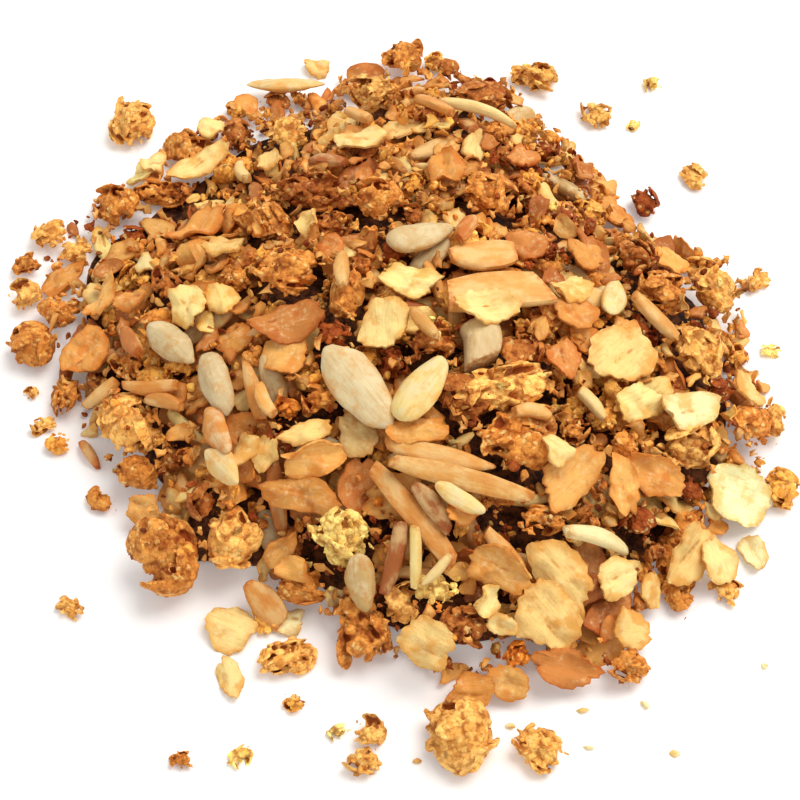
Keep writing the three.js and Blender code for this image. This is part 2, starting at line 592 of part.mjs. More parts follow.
/** The packed middle of the heap, bumpy on top and flat underneath. */
function core() {
  const rings = Array.from({ length: CORE_RINGS }, (_, ring) => {
    const share = ((ring + 1) / CORE_RINGS) ** 0.85 * CORE_REACH;
    return Array.from({ length: CORE_SPOKES }, (_, spoke) => {
      const angle = ((spoke + 0.5 * (ring % 2)) / CORE_SPOKES) * 2 * Math.PI - Math.PI;
      const radius = share * footRadius(angle);
      const x = middle.x + Math.cos(angle) * radius;
      const y = middle.y + Math.sin(angle) * radius;
      return new THREE.Vector3(x, y, Math.max(bedHeight(x, y) + around(CORE_BUMP), CORE_BUMP));
    });
  });
  const rim = rings[CORE_RINGS - 1];
  const base = rim.map((p) => new THREE.Vector3(p.x, p.y, 0));
  return loft(
    new THREE.Vector3(middle.x, middle.y, 0),
    [base, ...rings.reverse()],
    new THREE.Vector3(middle.x, middle.y, CREST),
  );
}

/** A piece lying by itself on the surface, on a small flat under it. */
function loosePiece(spot) {
  const shape = spot.wavy
    ? solid(flake(spot.long, spot.wide, spot.high, OAT_SIDES))
    : cluster(spot.long, spot.wide, spot.high, spot.knobs);
  const at = underPixel(spot.px, spot.py, spot.high / 2);
  const laid = shape.transform(settle(at, spot.turn, new THREE.Vector3(0, 0, 1)).elements);
  const sunk = laid.boundingBox().min[2] + FLAT_SHARE * spot.high;
  return largest(laid.translate(0, 0, -sunk).intersect(aboveFloor));
}

/** A body with the gap round it that its neighbour keeps. */
function withGap(body) {
  const { min, max } = body.boundingBox();
  const centre = min.map((low, axis) => (low + max[axis]) / 2);
  const grow = min.map((low, axis) => 1 + (2 * NEIGHBOUR_GAP) / (max[axis] - low));
  return body.translate(centre.map((value) => -value)).scale(grow).translate(centre);
}

/** Whether the boxes of two bodies meet. */
function meets(one, other) {
  const a = one.boundingBox();
  const b = other.boundingBox();
  return a.min.every((low, axis) => low < b.max[axis] && b.min[axis] < a.max[axis]);
}

/** A body cut back from those beside it, where it would touch them. */
function clearOf(body, others) {
  const rooms = others.map(withGap).filter((room) => meets(room, body));
  return rooms.length > 0 ? largest(rooms.reduce((rest, room) => rest.subtract(room), body)) : body;
}

const loose = [];
for (const [name, spot] of Object.entries(LOOSE)) {
  loose.push({ name, spot, body: clearOf(loosePiece(spot), loose.map((piece) => piece.body)) });
}

/** A piece let down along the line of sight until it is well held by what lies under it. */
function letDown(piece, below) {
  let laid = piece;
  for (let step = 0; step < 10 && laid.intersect(below).volume() < GRIP; step += 1) {
    laid = laid.translate(SIGHT.clone().multiplyScalar(LET_DOWN).toArray());
  }
  return laid;
}

/** The whole heap in one piece, clear of what lies loose beside it. */
function heap() {
  const pieces = [...fillPieces(), ...showing];
  const body = pieces.reduce((below, piece) => below.add(letDown(piece, below)), solid(core()));
  return largest(clearOf(body, loose.map((piece) => piece.body)).intersect(aboveFloor));
}

// ---------------------------------------------------------------------------------- the object

const granola = new THREE.Group();

const heapMesh = new THREE.Mesh(
  geometryOf(heap()),
  new THREE.MeshStandardMaterial({ color: 0xcf9145, roughness: 0.7, metalness: 0 }),
);
heapMesh.name = "granola_heap";
granola.add(heapMesh);

for (const { name, spot, body } of loose) {
  const piece = new THREE.Mesh(
    geometryOf(body),
    new THREE.MeshStandardMaterial({ color: spot.wavy ? 0xf2dfa6 : 0xc98b42, roughness: 0.7, metalness: 0 }),
  );
  piece.name = name;
  granola.add(piece);
}

export default granola;
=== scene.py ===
"""Granola: a loose heap as it was poured on a pale surface.

Toasted oat flakes, crumbly baked clusters, sunflower kernels and almond slivers lie over one
another, and some pieces have rolled clear. Sizes are worked in millimetres and put down in metres.
The pieces that show lie where the photograph has them; seeded draws fill the places between, each
piece coming down on to what already lies there.
"""

from __future__ import annotations

import logging
import math
from dataclasses import dataclass, field
from enum import Enum

import bmesh
import bpy
import numpy as np
from mathutils import Matrix, Vector


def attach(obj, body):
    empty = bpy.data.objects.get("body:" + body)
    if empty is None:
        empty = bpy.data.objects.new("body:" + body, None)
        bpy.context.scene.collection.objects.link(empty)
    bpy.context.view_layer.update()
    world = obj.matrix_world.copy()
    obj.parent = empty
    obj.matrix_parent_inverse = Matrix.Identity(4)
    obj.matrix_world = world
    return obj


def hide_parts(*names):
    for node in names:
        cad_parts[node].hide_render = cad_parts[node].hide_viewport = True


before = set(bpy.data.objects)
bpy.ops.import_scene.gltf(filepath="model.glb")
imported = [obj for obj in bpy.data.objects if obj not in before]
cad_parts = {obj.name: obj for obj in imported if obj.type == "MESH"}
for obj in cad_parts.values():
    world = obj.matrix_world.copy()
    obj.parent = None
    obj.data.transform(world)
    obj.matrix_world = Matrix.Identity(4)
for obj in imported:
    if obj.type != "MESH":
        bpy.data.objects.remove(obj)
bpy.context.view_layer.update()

LOG = logging.getLogger("granola")
MM = 0.001
HEAP_NODE = "granola_heap"
BAKE_MAP = "OFBake"

Array = np.ndarray
Stream = np.random.Generator
Triple = tuple[float, float, float]
Settings = dict[str, object]
Sockets = dict[object, object]


# ---- colours


def linear(code: str) -> Triple:
    """A colour as the shaders take it.

    Args:
        code: six hexadecimal digits, as a screen shows the colour.

    Returns:
        Its red, green and blue, linear.
    """
    parts = [int(code[i : i + 2], 16) / 255 for i in (0, 2, 4)]
    return tuple(((p + 0.055) / 1.055) ** 2.4 if p > 0.04 else p / 12.92 for p in parts)


class Toast(Enum):
    """How the oven has left a piece."""

    MILK = "FAEBB0"
    CREAM = "F7DA90"
    STRAW = "F2CC7E"
    WHEAT = "EBB05E"
    HONEY = "E6AA62"
    GOLD = "E09C4C"
    TAN = "D08642"
    BROWN = "B46A33"
    DARK = "82461E"
    RED = "96461A"
    ORANGE = "D68034"
    GREY = "DFC896"
    OLIVE = "D2AF70"

    def tint(self) -> Array:
        """The colour, linear."""
        return np.array(linear(self.value))


MILK, CREAM, STRAW, WHEAT, HONEY, GOLD, TAN, BROWN, DARK, RED, ORANGE, GREY, OLIVE = Toast

# ---- what the photograph shows

# A lump of more than this, in square millimetres seen from above, is made from the larger shapes.
LARGE_LUMP = 24.0


@dataclass(frozen=True)
class Spot:
    """A piece that the photograph shows: its middle in pixels, and its own size in millimetres.

    turn is in degrees, and tells how far its long side falls to the right.
    """

    px: float
    py: float
    long: float
    wide: float
    turn: float
    toast: Toast
    high: float = 0.0
    curl: float = 0.0
    fold: float = 0.0

    def large(self) -> bool:
        """Whether a lump of this size is made from the larger shapes."""
        return self.long * self.wide > LARGE_LUMP


CLUSTERS = (
    Spot(130, 425, 9.6, 7.4, 30, HONEY, 6.0),
    Spot(165, 556, 9.8, 8.6, 80, TAN, 6.4),
    Spot(235, 535, 8.2, 6.6, 85, HONEY, 5.4),
    Spot(342, 537, 8.0, 7.0, 30, STRAW, 5.2),
    Spot(357, 630, 8.0, 7.2, 60, TAN, 5.2),
    Spot(373, 92, 6.9, 6.0, 0, HONEY, 5.0),
    Spot(402, 60, 6.0, 5.0, 0, TAN, 4.2),
    Spot(378, 200, 6.6, 5.8, 0, TAN, 4.6),
    Spot(313, 190, 8.8, 5.6, 0, BROWN, 4.8),
    Spot(267, 218, 6.6, 5.8, 0, TAN, 4.6),
    Spot(286, 132, 6.6, 6.0, 60, HONEY, 4.4),
    Spot(490, 190, 7.6, 7.4, 0, TAN, 5.0),
    Spot(483, 97, 8.6, 5.0, 0, BROWN, 4.4),
    Spot(448, 68, 4.0, 3.2, 0, BROWN, 3.0),
    Spot(347, 288, 8.4, 4.4, 88, TAN, 4.0),
    Spot(288, 270, 9.4, 7.2, 0, TAN, 5.0),
    Spot(503, 392, 13.0, 6.4, -10, HONEY, 5.0),
    Spot(465, 395, 6.6, 5.6, 0, BROWN, 4.8),
    Spot(516, 440, 10.0, 6.6, 5, TAN, 5.2),
    Spot(690, 447, 8.4, 5.8, -15, HONEY, 5.0),
    Spot(665, 290, 8.6, 5.8, 0, TAN, 4.6),
    Spot(634, 253, 6.4, 5.0, 0, BROWN, 4.2),
    Spot(710, 283, 8.4, 7.0, 70, HONEY, 5.0),
    Spot(703, 350, 8.0, 7.8, 0, HONEY, 5.4),
    Spot(752, 424, 5.8, 5.2, 0, TAN, 4.2),
    Spot(776, 424, 5.4, 3.4, 80, HONEY, 3.2),
    Spot(32, 347, 7.0, 6.0, 0, TAN, 4.6),
    Spot(60, 312, 5.6, 4.0, 0, TAN, 3.8),
    Spot(26, 300, 5.0, 4.4, 20, HONEY, 3.4),
    Spot(167, 282, 4.6, 3.8, 80, BROWN, 3.4),
    Spot(66, 395, 5.6, 4.4, 85, TAN, 3.6),
    Spot(115, 207, 6.8, 6.2, 0, TAN, 4.2),
    Spot(160, 193, 7.0, 3.8, 0, TAN, 3.6),
    Spot(50, 236, 4.8, 4.4, 0, HONEY, 3.0),
    Spot(78, 252, 4.8, 3.6, 0, HONEY, 2.8),
    Spot(28, 266, 4.6, 3.6, 0, TAN, 2.8),
    Spot(432, 345, 5.6, 4.0, 0, BROWN, 3.6),
    Spot(522, 353, 5.6, 5.0, 0, BROWN, 3.8),
    Spot(318, 400, 4.6, 4.0, 0, TAN, 3.4),
    Spot(303, 588, 5.8, 4.0, 0, TAN, 3.4),
    Spot(463, 627, 5.6, 5.0, 0, BROWN, 3.8),
    Spot(628, 666, 5.6, 4.2, 0, TAN, 3.4),
    Spot(640, 525, 4.8, 4.2, 45, RED, 3.4),
    Spot(548, 151, 3.8, 3.6, 0, RED, 3.2),
    Spot(646, 205, 4.4, 3.8, 80, RED, 3.4),
    Spot(402, 603, 4.8, 4.4, 80, HONEY, 3.6),
    Spot(437, 588, 5.0, 3.6, 0, STRAW, 3.0),
    Spot(498, 497, 4.8, 3.6, 10, TAN, 3.2),
    Spot(543, 520, 5.2, 3.4, 10, TAN, 3.0),
    Spot(203, 505, 4.8, 4.2, 60, BROWN, 3.4),
    Spot(135, 472, 6.4, 4.2, 0, TAN, 3.8),
    Spot(627, 448, 4.4, 3.8, 60, TAN, 3.2),
    Spot(182, 196, 4.2, 3.4, 0, BROWN, 3.0),
    Spot(128, 365, 4.4, 3.8, 20, TAN, 3.2),
    Spot(287, 410, 3.8, 3.2, 40, ORANGE, 3.0),
    Spot(575, 432, 3.8, 3.2, 0, TAN, 3.0),
    Spot(719, 390, 4.2, 3.6, 0, RED, 3.2),
    Spot(564, 218, 4.2, 3.8, 0, RED, 3.2),
    Spot(335, 334, 4.2, 3.4, 0, RED, 3.0),
    Spot(520, 655, 4.0, 3.6, 0, ORANGE, 3.0),
)

ALMONDS = (
    Spot(480, 342, 5.8, 4.6, 82, GREY, high=3.0),
    Spot(497, 289, 12.4, 5.4, -6, WHEAT, curl=0.1),
    Spot(483, 253, 8.4, 4.0, -5, WHEAT),
    Spot(412, 514, 15.0, 2.6, 50, GOLD, curl=0.6),
    Spot(440, 453, 13.0, 2.6, 12, WHEAT, curl=0.4),
    Spot(462, 475, 17.0, 2.6, 15, WHEAT, curl=0.9),
    Spot(432, 496, 6.8, 2.2, 50, BROWN),
    Spot(507, 528, 6.4, 1.9, 45, WHEAT),
    Spot(393, 556, 8.6, 1.9, 102, BROWN),
    Spot(413, 556, 7.2, 1.3, 93, CREAM),
    Spot(478, 110, 11.0, 1.6, 18, CREAM, curl=1.0),
    Spot(435, 105, 6.0, 2.0, 27, GOLD),
    Spot(655, 316, 7.6, 2.4, 45, WHEAT),
    Spot(252, 390, 7.8, 2.0, 75, GOLD),
    Spot(150, 385, 7.6, 1.8, 0, GOLD),
    Spot(344, 268, 5.8, 1.8, 85, WHEAT),
    Spot(533, 413, 4.8, 1.6, 5, WHEAT),
    Spot(600, 538, 9.6, 2.0, 20, MILK, curl=0.9),
    Spot(262, 586, 6.4, 3.6, 50, GOLD),
    Spot(359, 115, 5.6, 1.6, 30, WHEAT),
    Spot(243, 171, 4.8, 1.6, 65, CREAM),
    Spot(329, 160, 5.4, 2.0, 10, BROWN),
    Spot(266, 399, 4.6, 1.6, 60, WHEAT),
    Spot(163, 400, 5.2, 1.8, 15, GOLD),
    Spot(131, 340, 5.4, 2.0, 55, TAN),
    Spot(99, 391, 5.6, 1.8, -38, WHEAT),
    Spot(426, 320, 5.6, 1.7, 45, WHEAT),
    Spot(592, 404, 4.6, 1.6, 50, CREAM),
    Spot(435, 570, 4.8, 1.1, -50, CREAM),
    Spot(88, 455, 4.2, 1.2, 60, ORANGE, curl=0.6),
    Spot(468, 229, 4.4, 2.2, -50, ORANGE),
)

OATS = (
    Spot(285, 352, 6.6, 5.8, 88, WHEAT),
    Spot(285, 320, 9.8, 5.8, -10, TAN, curl=0.5),
    Spot(412, 282, 7.8, 5.2, 10, CREAM, curl=0.5),
    Spot(487, 307, 8.2, 5.2, 0, CREAM, curl=0.4, fold=0.3),
    Spot(575, 311, 6.0, 5.0, 0, GOLD),
    Spot(572, 286, 6.8, 4.4, -15, STRAW),
    Spot(563, 358, 5.4, 4.4, 80, TAN),
    Spot(622, 357, 9.6, 8.2, -35, STRAW, curl=0.4),
    Spot(223, 299, 5.4, 4.2, 70, STRAW),
    Spot(185, 306, 6.4, 5.4, 60, CREAM),
    Spot(362, 139, 7.6, 5.0, 0, CREAM, curl=0.4),
    Spot(197, 162, 9.4, 4.6, -30, CREAM, curl=0.4),
    Spot(212, 128, 3.9, 3.2, 0, CREAM),
    Spot(85, 352, 7.4, 7.2, 30, GOLD),
    Spot(195, 225, 9.2, 6.2, -40, GOLD, curl=0.7),
    Spot(738, 494, 9.6, 7.6, 20, MILK, curl=0.4, fold=0.3),
    Spot(565, 571, 11.0, 6.0, 48, STRAW, curl=0.4),
    Spot(543, 615, 9.8, 8.0, 50, STRAW, curl=0.4),
    Spot(616, 577, 6.2, 4.8, -25, CREAM),
    Spot(428, 643, 7.2, 5.8, 30, STRAW),
    Spot(690, 548, 8.4, 6.8, -55, STRAW, fold=0.4),
    Spot(719, 560, 6.0, 5.0, 70, CREAM),
    Spot(655, 475, 9.0, 5.0, 25, GOLD, fold=0.6),
    Spot(624, 484, 7.4, 4.2, 75, WHEAT, curl=0.8),
    Spot(571, 477, 10.4, 5.8, -42, WHEAT, curl=0.8, fold=0.5),
    Spot(640, 403, 6.4, 5.4, -20, CREAM),
    Spot(688, 408, 10.6, 5.2, -8, MILK, curl=0.4),
    Spot(500, 566, 7.8, 6.0, 28, WHEAT, fold=0.9),
    Spot(418, 428, 7.4, 4.0, 0, WHEAT),
    Spot(302, 494, 9.8, 5.0, 12, GOLD, curl=0.4),
    Spot(310, 457, 8.0, 5.0, -5, WHEAT, fold=1.3),
    Spot(355, 435, 6.0, 5.0, 40, OLIVE),
    Spot(267, 452, 5.4, 3.2, -75, STRAW),
    Spot(244, 447, 5.0, 3.0, -60, STRAW),
    Spot(305, 430, 6.6, 3.2, -12, STRAW),
    Spot(143, 503, 5.8, 4.4, 25, WHEAT),
    Spot(750, 388, 5.6, 4.6, 70, STRAW),
    Spot(447, 168, 6.8, 4.6, 80, GOLD),
    Spot(521, 157, 5.0, 4.6, -30, TAN),
    Spot(582, 167, 4.8, 3.4, 80, TAN),
    Spot(527, 242, 5.4, 5.0, 20, TAN),
    Spot(585, 253, 5.4, 4.8, 40, GOLD),
    Spot(672, 255, 5.4, 4.4, 60, WHEAT),
    Spot(130, 297, 4.8, 4.0, 0, GOLD),
    Spot(100, 295, 8.4, 3.6, -65, WHEAT, curl=0.6),
    Spot(224, 245, 5.6, 5.2, 0, STRAW),
    Spot(310, 222, 4.4, 3.8, 30, STRAW, fold=0.8),
    Spot(268, 160, 6.4, 4.2, 80, STRAW),
    Spot(508, 682, 5.0, 4.2, 20, WHEAT),
    Spot(470, 668, 5.8, 4.8, 0, GOLD),
    Spot(568, 664, 8.6, 4.8, 18, TAN, fold=0.5),
    Spot(630, 628, 6.0, 5.0, 10, STRAW),
    Spot(650, 590, 4.4, 3.6, 80, STRAW),
    Spot(490, 600, 4.2, 3.4, -60, CREAM, fold=0.8),
    Spot(278, 530, 5.4, 3.0, -50, WHEAT),
    Spot(293, 553, 4.4, 3.2, 20, WHEAT),
    Spot(555, 450, 4.6, 3.4, 40, CREAM),
    Spot(461, 512, 3.8, 3.0, 0, GOLD),
    Spot(318, 66, 4.2, 3.4, 20, STRAW),
    Spot(502, 624, 3.6, 3.2, 20, CREAM),
    Spot(155, 163, 3.8, 3.2, 0, CREAM),
)

KERNELS = (
    Spot(358, 385, 12.6, 5.8, 50, GREY),
    Spot(421, 387, 9.2, 4.8, -55, CREAM),
    Spot(418, 235, 8.4, 4.4, -12, GREY),
    Spot(171, 339, 9.2, 4.2, 38, GREY),
    Spot(216, 384, 9.0, 4.0, 65, GREY),
    Spot(615, 297, 6.8, 2.8, -70, CREAM),
    Spot(362, 580, 6.6, 3.6, 82, OLIVE),
    Spot(222, 465, 6.4, 3.4, 42, STRAW),
    Spot(217, 429, 7.6, 3.4, 60, GOLD),
    Spot(461, 492, 6.0, 2.4, 30, CREAM),
    Spot(285, 84, 11.0, 3.0, 0, STRAW),
)

TOP_OATS = (Spot(384, 324, 7.6, 6.6, 85, CREAM, curl=0.3),)

LOOSE_CLUSTERS = {
    "loose_cluster_back_left": Spot(131, 121, 8.2, 6.6, 75, HONEY, 5.0),
    "loose_cluster_back_right": Spot(534, 77, 6.8, 4.6, 5, HONEY, 3.4),
    "loose_chip_back_right": Spot(597, 112, 5.2, 4.6, 40, HONEY, 2.2),
    "loose_crumb_far_back": Spot(653, 83, 2.7, 2.6, 0, STRAW, 1.8),
    "loose_crumb_back": Spot(633, 125, 2.1, 1.8, 0, STRAW, 1.2),
    "loose_chip_right_back": Spot(695, 175, 4.4, 3.6, 70, HONEY, 2.2),
    "loose_curl_right": Spot(756, 280, 4.0, 3.2, -30, HONEY, 1.8),
    "loose_crumb_right": Spot(771, 350, 2.5, 2.0, 0, STRAW, 1.3),
    "loose_chip_right_front": Spot(728, 589, 5.0, 4.0, 60, HONEY, 2.2),
    "loose_cluster_right": Spot(783, 487, 5.8, 4.6, 80, GOLD, 3.8),
    "loose_crumbs_right_front": Spot(683, 598, 5.0, 4.0, 70, TAN, 3.0),
    "loose_cluster_front": Spot(459, 729, 9.2, 8.4, 30, HONEY, 6.4),
    "loose_cluster_front_right": Spot(540, 748, 6.6, 5.4, 20, HONEY, 3.8),
    "loose_knob_front": Spot(369, 732, 4.4, 4.0, 60, HONEY, 3.2),
    "loose_chunk_front": Spot(362, 760, 4.6, 3.6, 0, HONEY, 2.4),
    "loose_crumb_front_pale": Spot(339, 731, 2.9, 1.9, -20, CREAM, 1.1),
    "loose_crumb_front": Spot(293, 703, 2.7, 2.2, 20, GOLD, 1.7),
    "loose_cluster_front_left": Spot(287, 655, 7.2, 4.8, -15, HONEY, 3.4),
    "loose_chip_front_left": Spot(264, 619, 4.0, 3.0, 70, WHEAT, 1.6),
    "loose_shard_left": Spot(71, 607, 3.6, 2.6, 20, HONEY, 1.6),
    "loose_crumb_front_edge": Spot(182, 759, 3.2, 2.4, 20, TAN, 1.9),
    "loose_chip_front_edge": Spot(240, 757, 3.2, 2.4, -30, STRAW, 1.1),
    "loose_crumbs_left": Spot(102, 500, 4.4, 3.0, 20, TAN, 2.2),
    "loose_crumb_left_near": Spot(42, 425, 3.5, 2.3, -10, HONEY, 1.9),
    "loose_crumb_left_middle": Spot(57, 443, 3.0, 2.8, 0, GOLD, 2.0),
    "loose_crumb_left_far": Spot(32, 393, 2.3, 1.8, 0, HONEY, 1.3),
}

LOOSE_FLAKES = {
    "loose_flake_right": Spot(752, 555, 4.6, 3.8, 70, MILK),
    "loose_flake_front_left": Spot(231, 630, 6.4, 5.8, 20, CREAM),
    "loose_flake_front": Spot(290, 621, 4.2, 3.8, 10, MILK),
    "loose_shard_front_left": Spot(231, 679, 5.6, 3.0, 65, CREAM),
}

STRAYS = (
    Spot(581, 710, 1.8, 1.4, 0, STRAW),
    Spot(647, 706, 1.6, 1.2, 40, MILK),
    Spot(587, 747, 1.6, 1.1, 10, MILK),
    Spot(675, 752, 1.5, 1.2, 0, MILK),
    Spot(765, 665, 1.3, 1.0, 0, MILK),
    Spot(510, 725, 1.6, 1.2, 20, MILK),
    Spot(418, 761, 1.2, 1.0, 0, WHEAT),
)

# Where the bare surface shows through between the pieces, with its own width and depth in pixels.
BARE = ((300, 160, 28, 16), (145, 213, 20, 12), (85, 270, 18, 14), (125, 245, 12, 10))

# The foot of the heap, anticlockwise in the photograph from its left end.
FOOT = (
    (22, 330), (52, 400), (92, 470), (135, 530), (135, 592), (205, 598), (272, 602), (330, 645),
    (400, 680), (440, 700), (510, 692), (575, 680), (640, 682), (655, 620), (712, 590), (742, 530),
    (778, 480), (786, 415), (766, 360), (752, 300), (708, 258), (655, 230), (605, 172), (560, 130),
    (505, 78), (440, 52), (385, 58), (300, 84), (232, 100), (175, 140), (100, 192), (38, 232),
)


# ---- the view, and the heap's form


def unit(way: Array) -> Array:
    """The same direction at a length of one."""
    return way / np.linalg.norm(way)


@dataclass(frozen=True)
class PhotoView:
    """The photograph's own view, in millimetres and pixels."""

    elevation: float = 58.0
    distance: float = 250.0
    lens: float = 90.0
    sensor: float = 36.0
    image: float = 800.0
    aim: Triple = (0.57, -3.46, 0.0)

    def sight(self) -> Array:
        """Which way the camera looks."""
        tilt = math.radians(self.elevation)
        return np.array([0.0, math.cos(tilt), -math.sin(tilt)])

    def up(self) -> Array:
        """Which way is up in the picture."""
        tilt = math.radians(self.elevation)
        return np.array([0.0, math.sin(tilt), math.cos(tilt)])

    def eye(self) -> Array:
        """Where the camera stands."""
        return np.array(self.aim) - self.sight() * self.distance

    def under(self, px: float, py: float, height: float) -> Array:
        """The point at a height that a pixel shows.

        Args:
            px: pixels from the picture's left side.
            py: pixels from its top.
            height: the height, in millimetres.

        Returns:
            The point, in millimetres.
        """
        focal = self.lens / self.sensor * self.image
        across = (px - self.image / 2) / focal
        upward = (self.image / 2 - py) / focal
        ray = self.sight() + across * np.array([1.0, 0.0, 0.0]) + upward * self.up()
        eye = self.eye()
        return eye + ray * ((height - eye[2]) / ray[2])

    def frame_of(self, normal: Array, turn: float) -> Array:
        """How a piece lies whose long side falls to the right by turn degrees in the picture.

        Args:
            normal: which way its flat side faces.
            turn: degrees that the long side falls to the right.

        Returns:
            A turning matrix, its columns the piece's own long, wide and thick directions.
        """
        swing = math.radians(turn)
        along = np.array([math.cos(swing), 0, 0]) - math.sin(swing) * self.up()
        along = along - self.sight() * (along @ normal) / (self.sight() @ normal)
        along = unit(along)
        return np.column_stack([along, np.cross(normal, along), normal])


@dataclass
class Mound:
    """The heap's own form: a mound over a single layer that ends at an uneven foot."""

    view: PhotoView
    crest: float = 15.5
    power: float = 1.1
    layer: float = 1.5
    thin_middle: float = 2.36
    thin_spread: float = 0.6
    thin_depth: float = 0.22
    middle_px: tuple[float, float] = (415, 385)
    middle: Array = field(init=False)
    angles: Array = field(init=False)
    radii: Array = field(init=False)

    def __post_init__(self) -> None:
        """Puts the foot's pixels down on the surface."""
        self.middle = self.view.under(*self.middle_px, 0.0)
        off = np.array([self.view.under(px, py, 0.0) for px, py in FOOT]) - self.middle
        angles = np.arctan2(off[:, 1], off[:, 0])
        order = np.argsort(angles)
        self.angles = angles[order]
        self.radii = np.hypot(off[:, 0], off[:, 1])[order]

    def foot(self, angle: Array) -> Array:
        """Distance from the middle to the foot in each direction."""
        after = np.searchsorted(self.angles, angle, side="right")
        nxt = after % len(self.angles)
        last = (after - 1) % len(self.angles)
        turn = 2 * math.pi
        span = (self.angles[nxt] - self.angles[last]) % turn
        share = ((angle - self.angles[last]) % turn) / span
        ease = (1 - np.cos(math.pi * share)) / 2
        return self.radii[last] + (self.radii[nxt] - self.radii[last]) * ease

    def out(self, x: Array, y: Array) -> Array:
        """How far out each place is, as a share of the foot's distance."""
        dx = x - self.middle[0]
        dy = y - self.middle[1]
        return np.hypot(dx, dy) / self.foot(np.arctan2(dy, dx))

    def height(self, x: Array, y: Array) -> Array:
        """Height of the bed that the showing pieces lie on.

        Args:
            x: places along the row's x axis, in millimetres.
            y: places along its y axis.

        Returns:
            The bed's height at each place.
        """
        angle = np.arctan2(y - self.middle[1], x - self.middle[0])
        wrapped = np.arctan2(np.sin(angle - self.thin_middle), np.cos(angle - self.thin_middle))
        reach = 1 - self.thin_depth * np.exp(-((wrapped / self.thin_spread) ** 2))
        out = self.out(x, y)
        slope = self.crest * np.clip(1 - (out / reach) ** 2, 0, 1) ** self.power
        return slope + np.where(out < 1, self.layer * (1 - np.minimum(out, 1) ** 6), 0)

    def normal(self, x: float, y: float, step: float = 3.0) -> Array:
        """Which way the bed faces at one place."""
        xs = np.array([x - step, x + step, x, x])
        ys = np.array([y, y, y - step, y + step])
        high = self.height(xs, ys)
        facing = np.array([high[0] - high[1], high[2] - high[3], 2 * step])
        return unit(facing)

    def under_pixel(self, px: float, py: float, lift: float) -> Array:
        """The point on the bed, raised by lift, that a pixel shows."""
        at = self.view.under(px, py, lift)
        for _ in range(12):
            bed = float(self.height(at[0:1], at[1:2])[0])
            at = self.view.under(px, py, (at[2] + bed + lift) / 2)
        return at


# ---- mesh of one piece


@dataclass(frozen=True)
class Unevenness:
    """Smooth, repeatable unevenness through space."""

    seed: int

    @classmethod
    def drawn(cls, rng: Stream) -> Unevenness:
        """The unevenness of one piece alone."""
        return cls(int(rng.integers(1, 9999)))

    def at(self, points: Array, pitch: float) -> Array:
        """Unevenness at each point.

        Args:
            points: places, one a row.
            pitch: how far apart the bumps are.

        Returns:
            Values from -1 to 1.
        """
        cell = points / pitch + 100.0
        low = np.floor(cell).astype(np.int64)
        part = cell - low
        part = part * part * (3 - 2 * part)
        total = np.zeros(len(points))
        for corner in range(8):
            step = np.array([corner & 1, corner >> 1 & 1, corner >> 2 & 1])
            at = low + step
            mixed = at[:, 0] * 73856093 ^ at[:, 1] * 19349663 ^ at[:, 2] * 83492791
            mixed = (mixed ^ self.seed * 26544357) & 0xFFFFFFF
            mixed = (mixed ^ mixed >> 13) * 12741261 & 0xFFFFFFF
            value = (mixed >> 9 & 0xFFFF) / 0xFFFF
            total += value * np.prod(np.where(step == 1, part, 1 - part), axis=1)
        return total * 2 - 1


@dataclass
class Body:
    """One closed mesh, in millimetres about its own middle, with its place on a chart."""

    points: Array
    faces: Array
    chart: Array
    rim: Array
    hollow: Array
    patch: Array

    def scaled(self, factors: Array) -> Body:
        """The same body at another size."""
        return Body(self.points * factors, self.faces, self.chart, self.rim, self.hollow, self.patch)


def round_angles(sides: int) -> Array:
    """The angle of each of a ring's sides."""
    return np.arange(sides) / sides * 2 * math.pi


def corners_of(triangle: list[list[Array]]) -> Array:
    """A row of triangles on the chart, from the two places of each corner."""
    return np.stack(triangle).transpose(2, 0, 1)


def band_between(low: int, high: int, sides: int) -> list[Array]:
    """The triangles between two rings, by the numbers of the rings' first points."""
    i = np.arange(sides)
    j = (i + 1) % sides
    first = np.column_stack([low + i, low + j, high + j])
    return [first, np.column_stack([low + i, high + j, high + i])]


def smoothed(values: Array, faces: Array, passes: int) -> Array:
    """Each point's value as the mean of its neighbours' values, several times over.

    Args:
        values: one row for each point.
        faces: triangles over the points.
        passes: how many times.

    Returns:
        The smoothed values.
    """
    size = len(values)
    near, far = np.concatenate([faces[:, [0, 1]], faces[:, [1, 2]], faces[:, [2, 0]]]).T
    count = np.bincount(near, minlength=size) + np.bincount(far, minlength=size)
    result = values
    for _ in range(passes):
        total = [np.bincount(near, c[far], size) + np.bincount(far, c[near], size) for c in result.T]
        result = np.column_stack(total) / np.maximum(count, 1)[:, None]
    return result


def normals_of(points: Array, faces: Array) -> Array:
    """Which way the surface faces at each point."""
    a, b, c = (points[faces[:, i]] for i in range(3))
    flat = np.cross(b - a, c - a)
    total = np.zeros_like(points)
    for corner in range(3):
        for axis in range(3):
            total[:, axis] += np.bincount(faces[:, corner], flat[:, axis], minlength=len(points))
    return total / np.maximum(np.linalg.norm(total, axis=1, keepdims=True), 1e-9)


